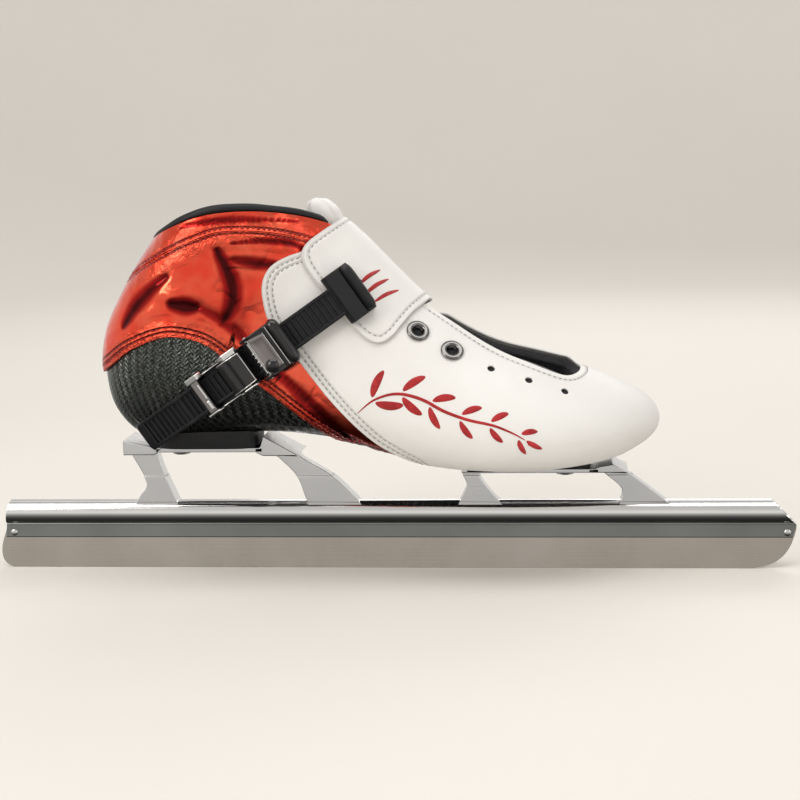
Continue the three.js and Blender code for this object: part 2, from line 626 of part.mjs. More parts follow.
const tubeRoom = solid(
  new THREE.CylinderGeometry(TUBE.radius + GAP, TUBE.radius + GAP, 420, 32)
    .rotateZ(Math.PI / 2)
    .translate(0, 0, TUBE.centreZ),
);

function offsetSlot(x) {
  const half = OFFSET_SLOT.halfLength - BOLT.clearance;
  const shape = new THREE.Shape();
  shape.absarc(x, half, BOLT.clearance, 0, Math.PI, false);
  shape.absarc(x, -half, BOLT.clearance, Math.PI, 2 * Math.PI, false);
  return solid(planPlate(shape, 40, 80));
}

function stand(cradle, legs, boltX) {
  const half = OFFSET_SLOT.plateHalfWidth;
  const plate = solid(sidePlate(new THREE.Shape(vectors(cradle)), -half, half));
  const joined = legs.reduce((body, [rearEdge, frontEdge]) => body.add(leg(rearEdge, frontEdge)), plate);
  return joined.subtract(tubeRoom).subtract(offsetSlot(boltX));
}

const rearStand = stand(
  [
    [-133, 61], [-117.4, 61], [-115.5, 62.4], [-65, 62.4], [-62, 60.4], [-43.5, 60.4], [-61.6, 70.4], [-62.6, 64.6],
    [-115.5, 64.6], [-121, 66], [-133, 68.4],
  ],
  [
    [
      [[-130, 32], [-127.6, 38], [-124.2, 42.5], [-124.5, 47.5], [-132, 61.5]],
      [[-118, 61.5], [-114.1, 49.1], [-110.3, 40.2], [-107, 32]],
    ],
    [
      [[-40.5, 32], [-42.6, 38.5], [-46.8, 48.9], [-59, 61]],
      [[-46, 61], [-43, 57.4], [-29, 48.9], [-17, 37.5], [-12.5, 32]],
    ],
  ],
  BOLT.heelX,
);
const frontStand = stand(
  [
    [37.4, 51.4], [103, 51.4], [120, 51.4], [112, 55.6], [105.7, 54.6], [102.6, 53.4], [54, 53.4], [50, 54.2],
    [37.4, 54.2],
  ],
  [
    [
      [[34.5, 32], [37.1, 38], [39.6, 43.6], [37.6, 49], [37.5, 52]],
      [[45.5, 52], [46.4, 47], [49.7, 42], [53.6, 37.4], [59, 32]],
    ],
    [
      [[115, 32], [117.1, 38.4], [115.9, 42.9], [109.4, 48.5], [104, 52]],
      [[117, 52], [129.2, 42.9], [137.1, 36.8], [143, 32]],
    ],
  ],
  BOLT.toeX,
);
addPart('rear_stand', rearStand, 'aluminium');
addPart('front_stand', frontStand, 'aluminium');

// ---------------------------------------------------------------- buckle, in its own frame

buckle.applyMatrix4(buckleMatrix);
skate.add(buckle);

// A shape drawn in the buckle's x and z, pushed across it from yLow to yHigh.
const across = (shape, yLow, yHigh, curveSegments = 6) => sidePlate(shape, yLow, yHigh, curveSegments);

// A band of the arc between two radii, from x0 to x1.
function arcBand(inner, outer, x0, x1, halfWidth, steps = 10) {
  const place = (radius, x) => {
    const turn = x / LADDER.inner;
    return new THREE.Vector2(radius * Math.sin(turn), radius * Math.cos(turn) - ARC);
  };
  const low = [];
  const high = [];
  for (let i = 0; i <= steps; i += 1) {
    const x = x0 + (x1 - x0) * i / steps;
    low.push(place(inner, x));
    high.unshift(place(outer, x));
  }
  return across(new THREE.Shape([...low, ...high]), -halfWidth, halfWidth);
}

// Moves a piece along the arc.
function onArc(geometry, x) {
  geometry.translate(0, 0, ARC);
  geometry.rotateY(x / LADDER.inner);
  geometry.translate(0, 0, -ARC);
  return geometry;
}

const pinHole = ([x, z], reach = 14) => solid(crossBar(PIN_CLEARANCE, x, z, -reach, reach));

// The seat fills the room between the boot's round side and the buckle's floor.
const seat = solid(arcBand(ARC - 9, ARC - GAP, -21, 18, 8.6, 8).applyMatrix4(buckleMatrix))
  .subtract(bootForm(QUARTER_LAYER.outer - GAP))
  .subtract(screwHole);
addPart('buckle_seat', seat, 'blackPlastic');

function cheekShape() {
  return new THREE.Shape(vectors([
    [BASE.rear, -2.3], [-12, -0.5], [0, 0], [12, -0.5], [BASE.front, -1.7], [BASE.front, 2.4], [15.5, 4.2],
    [11.4, 10.6], [6.6, 11.4], [2.8, 8.4], [0.6, 11.2], [-5, 11.8], [-8.5, 6.8], [-19.5, 5.4], [-22, 8.6],
    [BASE.rear, 7.4],
  ]));
}
const cheekInner = BASE.halfWidth - BASE.cheek;
const base = solid(arcBand(ARC, ARC + BASE.floor, BASE.rear, BASE.front, BASE.halfWidth))
  .add(solid(across(cheekShape(), cheekInner, BASE.halfWidth)))
  .add(solid(across(cheekShape(), -BASE.halfWidth, -cheekInner)))
  .add(solid(box(BASE.rear + 0.6, BASE.rear + 3.6, -BASE.halfWidth, BASE.halfWidth, 4.9, 6.7)))
  .subtract(pinHole(RELEASE_PIVOT))
  .subtract(pinHole(LEVER_PIVOT))
  .subtract(solid(bar(SCREW.head + GAP, SCREW.u, 0, -4, 2.5)));
addPart('buckle_base', base, 'darkSteel', buckle);

addPart('buckle_screw', turned([
  [0, SCREW.low], [SCREW.shank, SCREW.low], [SCREW.shank, -0.6], [SCREW.head, -0.6], [SCREW.head, 0.3], [0, 0.3],
], SCREW.u, 0, 16), 'darkSteel', buckle);
addPart('buckle_nut', turned([
  [SCREW.shank + GAP, SCREW.nutLow], [SCREW.nut, SCREW.nutLow], [SCREW.nut, SCREW.nutHigh],
  [SCREW.shank + GAP, SCREW.nutHigh], [SCREW.shank + GAP, SCREW.nutLow],
], SCREW.u, 0, 16), 'darkSteel', buckle);

// The ladder is an arc of web with square teeth across it.
function ladderShape() {
  const { inner, web, teeth, rear, front, pitch } = LADDER;
  const at = (radius, x) => new THREE.Vector2(
    radius * Math.sin(x / inner),
    radius * Math.cos(x / inner) - ARC,
  );
  const points = [];
  const steps = 16;
  for (let i = 0; i <= steps; i += 1) points.push(at(inner, rear + (front - rear) * i / steps));
  points.push(at(web, front));
  for (let x = front - 8; x > rear + pitch; x -= pitch) {
    points.push(at(web, x), at(teeth, x - 0.2), at(teeth, x - pitch * 0.5));
    points.push(at(web, x - pitch * 0.5 - 0.6));
  }
  points.push(at(web, rear));
  return new THREE.Shape(points);
}
addPart('ladder_strap', across(ladderShape(), -LADDER.halfWidth, LADDER.halfWidth), 'blackPlastic', buckle);

// The anchor block holds the ladder's end and sits on the strap's free end.
const ANCHOR_BAR = { x: 5.2, radius: 2.6 };
function anchorShape() {
  const { halfLength, bottom, top } = ANCHOR;
  const low = bottom - ARC;
  const high = top - ARC;
  const shape = new THREE.Shape();
  shape.moveTo(-halfLength, low);
  shape.lineTo(halfLength, low);
  shape.lineTo(halfLength + 0.6, high);
  shape.absarc(ANCHOR_BAR.x, high, ANCHOR_BAR.radius, 0, Math.PI, false);
  shape.lineTo(1, high);
  shape.lineTo(-halfLength, high - 1.4);
  return shape;
}
const anchorBlock = solid(onArc(across(anchorShape(), -ANCHOR.halfWidth, ANCHOR.halfWidth), ANCHOR.place))
  .subtract(solid(arcBand(LADDER.inner - GAP, LADDER.teeth + GAP, 40, LADDER.front + GAP, LADDER.halfWidth + GAP)))
  .transform(buckleMatrix.elements)
  .subtract(bootForm(STRAP_LAYER.outer - GAP));
addPart('anchor_block', anchorBlock, 'blackPlastic');

// ---------------------------------------------------------------- levers, pawls and pins

function pin(name, [x, z], reach, parent = buckle) {
  addPart(name, crossBar(PIN_RADIUS, x, z, -reach, reach, 14), 'darkSteel', parent);
}

const RELEASE_HALF_WIDTH = 8;
const RELEASE_SPRING = { room: 2.5, reach: 2.9 };
const [releaseX, releaseZ] = RELEASE_PIVOT;
function releaseShape() {
  return new THREE.Shape(vectors([
    [releaseX - 7.2, 4.9], [releaseX - 5.2, 5.2], [releaseX - 1.4, releaseZ - 2.4], [releaseX + 1.8, releaseZ - 2.2],
    [releaseX + 2.6, releaseZ], [releaseX + 5.4, releaseZ + 1.6], [releaseX + 5, releaseZ + 3],
    [releaseX + 1, releaseZ + 3.4], [releaseX - 2.4, releaseZ + 2.8], [releaseX - 5.6, releaseZ - 0.6],
  ]));
}
addPart(
  'release_lever',
  solid(across(releaseShape(), -RELEASE_HALF_WIDTH, RELEASE_HALF_WIDTH))
    .subtract(pinHole(RELEASE_PIVOT))
    .subtract(solid(crossBar(RELEASE_SPRING.room, releaseX, releaseZ, -RELEASE_SPRING.reach, RELEASE_SPRING.reach))),
  'blackPlastic',
  buckle,
);
pin('release_pin', RELEASE_PIVOT, 10.2);

// The ratchet lever has two arms outside the cheeks, a plate over them and a round thumb bar at its end.
const ARM = { inner: 10, outer: 11.4 };
const [leverX, leverZ] = LEVER_PIVOT;
function armShape() {
  return new THREE.Shape(vectors([
    [leverX - 3.6, leverZ - 1.6], [leverX - 1, leverZ - 3], [leverX + 6, leverZ - 2.6], [leverX + 13.5, leverZ - 2.4],
    [leverX + 13.5, leverZ + 3.6], [leverX + 3, leverZ + 4.6], [leverX - 2.6, leverZ + 2.4],
  ]));
}
function thumbShape() {
  const shape = new THREE.Shape();
  shape.absellipse(leverX + 15, leverZ + 0.9, 3.6, 3.1, 0, 2 * Math.PI, false, 0);
  return shape;
}
const leverPlate = box(leverX + 3, leverX + 13, -ARM.outer, ARM.outer, leverZ + 3, leverZ + 4.2);
const lever = solid(across(armShape(), ARM.inner, ARM.outer))
  .add(solid(across(armShape(), -ARM.outer, -ARM.inner)))
  .add(solid(leverPlate))
  .add(solid(across(thumbShape(), -12.2, 12.2, 12)))
  .add(solid(box(PAWL_PIVOT[0] - 1.9, PAWL_PIVOT[0] + 1.9, 6.6, 7.8, PAWL_PIVOT[1] - 1.9, leverZ + 3.6)))
  .add(solid(box(PAWL_PIVOT[0] - 1.9, PAWL_PIVOT[0] + 1.9, -7.8, -6.6, PAWL_PIVOT[1] - 1.9, leverZ + 3.6)))
  .subtract(pinHole(LEVER_PIVOT))
  .subtract(pinHole(PAWL_PIVOT, 8.4));
addPart('ratchet_lever', lever, 'darkSteel', buckle);
pin('lever_pin', LEVER_PIVOT, 11.8);
pin('pawl_pin', PAWL_PIVOT, 7.7);

const [pawlX, pawlZ] = PAWL_PIVOT;
const pawlShape = new THREE.Shape(vectors([
  [pawlX - 4.4, 5], [pawlX - 3, 4.8], [pawlX + 1.6, pawlZ - 1.9], [pawlX + 2, pawlZ + 0.4], [pawlX + 0.6, pawlZ + 2],
  [pawlX - 1.6, pawlZ + 1.6],
]));
addPart('drive_pawl', solid(across(pawlShape, -6.2, 6.2)).subtract(pinHole(PAWL_PIVOT)), 'darkSteel', buckle);

// A torsion spring wound round a pin, from one side of the buckle to the other.
function torsionSpring(name, [x, z], radius, wire, reach, turns) {
  const steps = turns * 10;
  const points = Array.from({ length: steps + 1 }, (_, i) => {
    const angle = 2 * Math.PI * turns * i / steps;
    return new THREE.Vector3(x + radius * Math.cos(angle), reach * (2 * i / steps - 1), z + radius * Math.sin(angle));
  });
  const section = new THREE.Shape();
  section.absarc(0, 0, wire / 2, 0, 2 * Math.PI, false);
  const geometry = new THREE.ExtrudeGeometry(section, {
    extrudePath: new THREE.CatmullRomCurve3(points),
    steps,
    curveSegments: 3,
    bevelEnabled: false,
  });
  addPart(name, geometry, 'steel', buckle);
}
torsionSpring('release_spring', RELEASE_PIVOT, 1.75, 0.5, 2.2, 3);
torsionSpring('lever_spring', LEVER_PIVOT, 1.8, 0.6, 4.5, 4);

export default skate;
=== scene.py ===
"""Speed skate for the right foot: looks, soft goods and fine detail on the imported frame.

Lengths in this file are millimetres unless a name says otherwise; meshes are made in metres.
+X points to the toe, +Y to the inner side of the foot, +Z up, as in the frame.
"""

import math

import bmesh
import bpy
import numpy as np
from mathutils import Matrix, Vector


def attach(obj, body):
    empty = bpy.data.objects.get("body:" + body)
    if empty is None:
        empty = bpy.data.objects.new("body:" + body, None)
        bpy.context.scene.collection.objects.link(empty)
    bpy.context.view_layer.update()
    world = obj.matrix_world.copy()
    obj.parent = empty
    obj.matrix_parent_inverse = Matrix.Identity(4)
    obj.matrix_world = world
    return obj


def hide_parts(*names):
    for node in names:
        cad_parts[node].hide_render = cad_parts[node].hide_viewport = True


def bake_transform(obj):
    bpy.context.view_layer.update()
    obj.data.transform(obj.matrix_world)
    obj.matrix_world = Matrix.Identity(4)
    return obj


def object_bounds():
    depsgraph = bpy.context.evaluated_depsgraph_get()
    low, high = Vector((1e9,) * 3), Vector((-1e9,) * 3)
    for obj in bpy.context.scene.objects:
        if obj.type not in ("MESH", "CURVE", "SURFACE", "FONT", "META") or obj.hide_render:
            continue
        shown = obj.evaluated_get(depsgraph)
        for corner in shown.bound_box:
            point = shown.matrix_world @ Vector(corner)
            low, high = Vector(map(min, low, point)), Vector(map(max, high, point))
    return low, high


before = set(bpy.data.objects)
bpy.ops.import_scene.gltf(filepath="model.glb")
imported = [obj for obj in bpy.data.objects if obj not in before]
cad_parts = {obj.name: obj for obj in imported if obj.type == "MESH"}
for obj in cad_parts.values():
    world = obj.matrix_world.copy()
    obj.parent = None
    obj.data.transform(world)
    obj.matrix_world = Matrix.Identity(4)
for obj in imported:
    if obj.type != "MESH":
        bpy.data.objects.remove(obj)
cad_box = [list(corner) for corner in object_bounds()]

MM = 0.001
PI = math.pi
TINY = 1e-12

# ---------------------------------------------------------------- the frame's dimensions

# Sections of the boot from the toe to above the collar: upper end x and z, lower end x and z, half width,
# centre y, share of the height at which it is widest, fullness of its lower and upper halves.
SECTIONS = np.array([
    [134.3, 76.8, 134.3, 76.8, 0, 5, 0.45, 2.2, 2.2],
    [131.9, 82.6, 132, 71.4, 14, 5, 0.45, 2.2, 2.2],
    [125, 88.7, 124.8, 65.8, 25.5, 5, 0.42, 2.3, 2.1],
    [110.3, 96.4, 110.4, 60, 36.5, 3, 0.38, 2.6, 1.9],
    [95, 102.3, 88, 56.8, 43, 0, 0.34, 2.8, 1.75],
    [76, 110.6, 62, 55.6, 45, -2, 0.32, 2.8, 1.65],
    [55, 118, 33, 56.4, 42.5, -2.5, 0.31, 2.7, 1.6],
    [36, 126.4, 5, 60.8, 39, -2, 0.32, 2.6, 1.6],
    [19, 136, -26, 67.5, 36.5, -1, 0.34, 2.5, 1.65],
    [3, 151.2, -58, 70.4, 35.5, 0, 0.36, 2.5, 1.75],
    [-10, 164.8, -92, 68.6, 35.5, 0, 0.4, 2.5, 1.85],
    [-18, 172.2, -121.5, 68.6, 36, 0, 0.42, 2.5, 1.95],
    [-24, 178, -137.6, 82.5, 36.5, 0, 0.45, 2.5, 2.1],
    [-29.5, 184, -142.9, 104, 37, 0, 0.47, 2.4, 2.3],
    [-35, 189.5, -139.6, 126, 36.5, 0, 0.48, 2.3, 2.4],
    [-41, 195.5, -127.3, 149.6, 35.5, 0, 0.48, 2.3, 2.4],
    [-48, 202, -112.4, 172.4, 34.5, 0, 0.48, 2.3, 2.4],
    [-56, 209, -99, 195, 33.5, 0, 0.48, 2.3, 2.4],
])

CUP_EDGE = [
    [-160, 92], [-145, 101.5], [-134.6, 108.5], [-121.8, 117.2], [-104.3, 123.4], [-89.6, 121.8],
    [-80, 116.8], [-68.1, 106], [-55.7, 97.1], [-40.9, 84.7], [-25.1, 71.8], [-17.9, 66.9], [3.5, 61],
    [14, 50],
]
QUARTER_FRONT = [
    [25, 50], [6, 73], [-13, 94], [-32, 118], [-42, 132], [-44, 142], [-38, 149.5], [-24, 154], [-4, 158],
    [10, 162],
]
VAMP_EDGE = [
    [-16, 172.5], [-26, 167.5], [-35.1, 163.8], [-43.8, 161.1], [-51.2, 156.9], [-55.2, 150.3],
    [-55.5, 141.2], [-52.1, 129.2], [-42.8, 117], [-24.1, 92.6], [-5.2, 73], [9.1, 63.1], [17, 58],
    [22, 46],
]
COLLAR_EDGE = [
    [-150, 161], [-126, 168.2], [-112.4, 171.6], [-103.3, 174.6], [-90, 178.8], [-77.8, 181.4],
    [-60.8, 182.6], [-41.6, 181.6], [-27.3, 178.8], [-18.8, 175.2], [-4, 166],
]
# The collar's lines are those of the lateral side, where y is level_y, and fall towards the inner side.
COLLAR_FALL = {"per_width": 0.15, "level_y": -30}
THROAT = [
    [-48, -7.5, 14], [-18, -6.5, 14], [4, -6.5, 12], [20, -6, 11], [35, -9.9, 13], [52, -16, 16],
    [66, -20, 17.5], [80, -21.8, 17.5], [90, -20, 15], [95.5, -12, 8], [97, -2, -2],
]
STRAP_FREE_END = [
    [-18, 179], [-27, 173], [-34.6, 166.9], [-36.2, 160.5], [-31.5, 151.5], [-20, 137.6], [-12, 127.3],
    [-5.2, 121.4], [0.4, 119.8], [5.6, 122.6], [9.8, 127.4], [14.6, 132.8], [19.8, 136.8], [27, 141],
]
STRAP_SEWN_END = [[-18, 179], [0, 200], [60, 150], [26, 139.5], [19, 134.5], [8.5, 124], [-6, 106],
                  [-42, 138]]
# The seam between the quarter and its collar band.
BAND_SEAM = [
    [-150, 146], [-128, 152.5], [-114.6, 158.5], [-99.6, 165], [-87.3, 169.7], [-77.5, 172.8], [-65.4, 173.6],
    [-51, 172.9], [-36.7, 170.4], [-20, 165], [0, 158],
]

LACE_ROWS = [0.455, 0.402, 0.347, 0.3, 0.252]
LACE_ANGLE_FIRST = 0.203 * PI
LACE_ANGLE_STEP = 0.0105 * PI
EYELET_ROWS = 2
LACE_HOLE_RADIUS = 2.2
EYELET = {"barrel": 3.7, "seat": 0.4}

STRAP_OUTER, STRAP_INNER = -4.2, -2.0
VAMP_OUTER, VAMP_INNER = -1.7, -0.25
QUARTER_INNER = 1.4
SHELL_OUTER, SHELL_INNER = 1.7, 3.3
LINER_INNER = 6.1

# ---------------------------------------------------------------- curves in the plane


def smooth(points, steps=8):
    """A Catmull-Rom curve through the points."""
    p = np.asarray(points, float)
    before = np.vstack([p[:1], p[:-2]])
    after = np.vstack([p[2:], p[-1:]])
    t = np.linspace(0, 1, steps, endpoint=False)[:, None, None]
    p1, p2 = p[:-1], p[1:]
    v0, v1 = (p2 - before) / 2, (after - p1) / 2
    curve = (2 * p1 - 2 * p2 + v0 + v1) * t**3 + (3 * p2 - 3 * p1 - 2 * v0 - v1) * t**2 + v0 * t + p1
    return np.vstack([curve.transpose(1, 0, 2).reshape(-1, p.shape[1]), p[-1:]])


def region(curve, corners=()):
    return np.vstack([curve, np.asarray(corners, float).reshape(-1, 2)])


def inside(polygon, x, y):
    """Signed distance of points to a closed outline, positive inside it."""
    nearest = np.full(x.shape, 1e9)
    within = np.zeros(x.shape, bool)
    for (ax, ay), (bx, by) in zip(polygon, np.roll(polygon, -1, axis=0)):
        dx, dy = bx - ax, by - ay
        along = np.clip(((x - ax) * dx + (y - ay) * dy) / (dx * dx + dy * dy + TINY), 0, 1)
        nearest = np.minimum(nearest, (x - ax - along * dx) ** 2 + (y - ay - along * dy) ** 2)
        if ay != by:
            crosses = (ay > y) != (by > y)
            within ^= crosses & (x < dx * (y - ay) / dy + ax)
    return np.where(within, 1.0, -1.0) * np.sqrt(nearest)


def fillet(outline, radius, steps=5):
    """The outline with its corners rounded."""
    corners = np.asarray(outline, float)
    rounded = []
    for before, corner, after in zip(np.roll(corners, 1, axis=0), corners, np.roll(corners, -1, axis=0)):
        reach = min(radius, 0.45 * np.linalg.norm(before - corner), 0.45 * np.linalg.norm(after - corner))
        start = corner + (before - corner) / np.linalg.norm(before - corner) * reach
        end = corner + (after - corner) / np.linalg.norm(after - corner) * reach
        for t in np.linspace(0, 1, steps):
            rounded.append((1 - t) ** 2 * start + 2 * t * (1 - t) * corner + t * t * end)
    return np.array(rounded)


def circle(x, y, radius, sides=32):
    turn = np.arange(sides) / sides * 2 * PI
    return np.stack([x + radius * np.cos(turn), y + radius * np.sin(turn)], axis=1)


def step(edge0, edge1, value):
    t = np.clip((value - edge0) / (edge1 - edge0), 0, 1)
    return t * t * (3 - 2 * t)


def unit(vectors, tiny=0.0):
    return vectors / (np.linalg.norm(vectors, axis=-1, keepdims=True) + tiny)


def travelled(path):
    """Distance along a path at each of its points."""
    return np.concatenate([[0], np.cumsum(np.linalg.norm(np.diff(path, axis=0), axis=1))])


def signed_power(value, power):
    return np.sign(value) * np.abs(value) ** power


def flank(sign, near, far):
    """The lower and upper of two distances from the middle, on the side that sign names."""
    return sorted([sign * near, sign * far])


def grid_faces(rows, columns, round_rows=False, round_columns=True):
    """The quads of a grid of points, row by row, which may close on itself either way."""
    faces = []
    for i in range(rows if round_rows else rows - 1):
        a, b = i * columns, (i + 1) % rows * columns
        for j in range(columns if round_columns else columns - 1):
            k = (j + 1) % columns
            faces.append([a + j, a + k, b + k, b + j])
    return faces


def end_faces(rows, columns):
    """The first and last rows of a grid, as the two ends of a closed form."""
    return [list(range(columns))[::-1], list(range((rows - 1) * columns, rows * columns))]


def slab(top, low):
    """A closed form between two grids of points."""
    rows, columns = top.shape[:2]
    count = rows * columns
    faces = []
    for i in range(rows - 1):
        for j in range(columns - 1):
            a = i * columns + j
            quad = [a, a + columns, a + columns + 1, a + 1]
            faces += [quad, [quad[k] + count for k in (0, 3, 2, 1)]]
    border = list(range(columns)) + [i * columns + columns - 1 for i in range(1, rows)]
    border += [(rows - 1) * columns + j for j in range(columns - 2, -1, -1)]
    border += [i * columns for i in range(rows - 2, 0, -1)]
    faces += [[a, b, b + count, a + count] for a, b in zip(border, border[1:] + border[:1])]
    return np.vstack([top.reshape(-1, 3), low.reshape(-1, 3)]), faces


# ---------------------------------------------------------------- the boot's skin


def sections_at(s):
    place = np.clip(np.asarray(s, float), 0, 1) * (len(SECTIONS) - 1)
    index = np.minimum(place.astype(int), len(SECTIONS) - 2)
    w = (place - index)[..., None]
    p1, p2 = SECTIONS[index], SECTIONS[index + 1]
    v0 = (p2 - SECTIONS[np.maximum(index - 1, 0)]) / 2
    v1 = (SECTIONS[np.minimum(index + 2, len(SECTIONS) - 1)] - p1) / 2
    return (2 * p1 - 2 * p2 + v0 + v1) * w**3 + (3 * p2 - 3 * p1 - 2 * v0 - v1) * w**2 + v0 * w + p1


def contour_normal(s, column):
    move = 0.001
    line = sections_at(np.minimum(s + move, 1)) - sections_at(np.maximum(s - move, 0))
    dx, dz = line[..., column], line[..., column + 1]
    length = np.hypot(dx, dz) + TINY
    sign = 1 if column == 0 else -1
    return sign * dz / length, -sign * dx / length


def skin(s, angle, depth=0.0):
    """A point of the boot: angle runs from the sole (0) over the inner side to the instep (pi) and round."""
    s, angle = np.asarray(s, float), np.asarray(angle, float)
    top_x, top_z, low_x, low_z, half, centre, widest, lower, upper = np.moveaxis(sections_at(s), -1, 0)
    nx, nz = contour_normal(s, 0)
    mx, mz = contour_normal(s, 2)
    top_x, top_z = top_x - depth * nx, top_z - depth * nz
    low_x, low_z = low_x - depth * mx, low_z - depth * mz
    width = half * (1 - depth / np.maximum(half, 22))
    rise, reach = np.abs(np.cos(angle)), np.abs(np.sin(angle))
    below = np.cos(angle) > 0
    power = 2 / np.where(below, lower, upper)
    share = np.where(below, widest * (1 - rise**power), widest + (1 - widest) * rise**power)
    return np.stack([
        low_x + (top_x - low_x) * share,
        centre + np.sign(np.sin(angle)) * width * reach**power,
        low_z + (top_z - low_z) * share,
    ], axis=-1)


def skin_normal(s, angle, depth=0.0):
    move = 0.002
    s = np.clip(s, 0.004, 0.996)
    angle = np.where(np.abs(np.sin(angle)) < 0.004, angle + 0.006, angle)
    along = skin(s + move, angle, depth) - skin(s - move, angle, depth)
    around = skin(s, angle + move, depth) - skin(s, angle - move, depth)
    normal = np.cross(along, around)
    return unit(normal, TINY)


def on_side(x, z, depth):
    """Finds s and angle of the points of the skin that stand at x and z on the boot's outer side."""
    x, z = np.asarray(x, float), np.asarray(z, float)
    s0, a0 = np.meshgrid(np.linspace(0.03, 0.98, 90), PI + np.linspace(0.02, 0.98, 60) * PI, indexing="ij")
    known = skin(s0, a0, depth)[..., [0, 2]].reshape(-1, 2)
    target = np.stack([x.ravel(), z.ravel()], axis=1)
    nearest = np.array([np.argmin(((known - t) ** 2).sum(axis=1)) for t in target])
    guess = np.stack([s0.ravel()[nearest], a0.ravel()[nearest]], axis=1)
    move = 1e-4
    for _ in range(8):
        here = skin(guess[:, 0], guess[:, 1], depth)[:, [0, 2]]
        ds = (skin(guess[:, 0] + move, guess[:, 1], depth)[:, [0, 2]] - here) / move
        da = (skin(guess[:, 0], guess[:, 1] + move, depth)[:, [0, 2]] - here) / move
        miss = target - here
        det = ds[:, 0] * da[:, 1] - ds[:, 1] * da[:, 0]
        det = np.where(np.abs(det) < 1e-3, 1e-3, det)
        guess[:, 0] += np.clip((miss[:, 0] * da[:, 1] - miss[:, 1] * da[:, 0]) / det, -0.03, 0.03)
        guess[:, 1] += np.clip((ds[:, 0] * miss[:, 1] - ds[:, 1] * miss[:, 0]) / det, -0.1, 0.1)
    return guess[:, 0].reshape(x.shape), guess[:, 1].reshape(x.shape)


# ---------------------------------------------------------------- sheets cut from the skin

GRID_S = 17 * 22
GRID_ANGLE = 340
SNAP = 0.04


class Sheet:
    """Part of the skin's grid, cut along the lines where any of its values is negative."""

    def __init__(self, values_of, s_range, depth=0.0):
        first, last = (int(round(v * GRID_S)) for v in s_range)
        s = np.arange(first, last + 1) / GRID_S
        angle = np.arange(GRID_ANGLE) / GRID_ANGLE * 2 * PI
        grid_s, grid_a = (g.ravel() for g in np.meshgrid(s, angle, indexing="ij"))
        index = np.arange(len(grid_s)).reshape(len(s), GRID_ANGLE)
        if first == 0:
            index[0] = 0
        turned = np.roll(index, -1, axis=1)
        quads = np.stack([index[:-1], index[1:], turned[1:], turned[:-1]], axis=-1).reshape(-1, 4)
        points = skin(grid_s, grid_a, depth)
        values = np.stack(values_of(points, grid_s))
        values = np.where(np.abs(values) < SNAP, 0.0, values)
        corner = values[:, quads]
        dropped = (corner < 0).all(axis=2).any(axis=0)
        whole = (corner >= 0).all(axis=(0, 2))
        place = [list(v) for v in np.stack([grid_s, np.cos(grid_a), np.sin(grid_a)], axis=1)]
        value = [list(v) for v in values.T]
        faces = quads[whole].tolist()
        made = {}
        for quad in quads[~dropped & ~whole].tolist():
            polygon = self.cut(quad, place, value, made)
            if len(polygon) > 2:
                faces.append(polygon)
        faces = [list(dict.fromkeys(face)) for face in faces]
        faces = [face for face in faces if len(face) > 2]
        used = sorted({i for face in faces for i in face})
        renumber = {old: new for new, old in enumerate(used)}
        self.faces = [[renumber[i] for i in face] for face in faces]
        kept = np.array([place[i] for i in used])
        self.s = kept[:, 0]
        self.angle = np.arctan2(kept[:, 2], kept[:, 1]) % (2 * PI)
        self.values = np.array([value[i] for i in used]).T

    @staticmethod
    def cut(quad, place, value, made):
        polygon = quad
        for k in range(len(value[0])):
            clipped = []
            for a, b in zip(polygon, polygon[1:] + polygon[:1]):
                va, vb = value[a][k], value[b][k]
                if va >= 0:
                    clipped.append(a)
                if va * vb < 0:
                    key = (min(a, b), max(a, b), k)
                    if key not in made:
                        low, high = key[:2]
                        t = value[low][k] / (value[low][k] - value[high][k])
                        place.append([p + (q - p) * t for p, q in zip(place[low], place[high])])
                        value.append([p + (q - p) * t for p, q in zip(value[low], value[high])])
                        value[-1][k] = 0.0
                        made[key] = len(place) - 1
                    clipped.append(made[key])
            polygon = clipped
            if len(polygon) < 3:
                return []
        return polygon

    def at(self, depth=0.0):
        return skin(self.s, self.angle, depth)

    def line(self, value, level):
        """The paths along which a value has this level, as s and angle."""
        crossing = {}
        links = {}
        above = (value > level).tolist()
        for face in self.faces:
            ends = []
            for a, b in zip(face, face[1:] + face[:1]):
                if above[a] != above[b]:
                    key = (min(a, b), max(a, b))
                    if key not in crossing:
                        t = (level - value[key[0]]) / (value[key[1]] - value[key[0]])
                        turn = (self.angle[key[1]] - self.angle[key[0]] + PI) % (2 * PI) - PI
                        s = self.s[key[0]] + (self.s[key[1]] - self.s[key[0]]) * t
                        crossing[key] = (s, self.angle[key[0]] + turn * t)
                    ends.append(key)
            for a, b in zip(ends[::2], ends[1::2]):
                links.setdefault(a, []).append(b)
                links.setdefault(b, []).append(a)
        paths = []
        todo = set(links)
        while todo:
            ends = [k for k in todo if len(links[k]) == 1]
            start = min(ends) if ends else min(todo)
            path = [start]
            todo.discard(start)
            while True:
                ahead = [k for k in links[path[-1]] if k in todo]
                if not ahead:
                    break
                path.append(ahead[0])
                todo.discard(ahead[0])
            if len(path) > 8:
                paths.append(np.array([crossing[k] for k in path]))
        return paths


RIM = [(0, 0.1), (0.07, 0.62), (0.2, 0.88), (0.38, 1), (0.62, 1), (0.8, 0.88), (0.93, 0.62), (1, 0.1)]


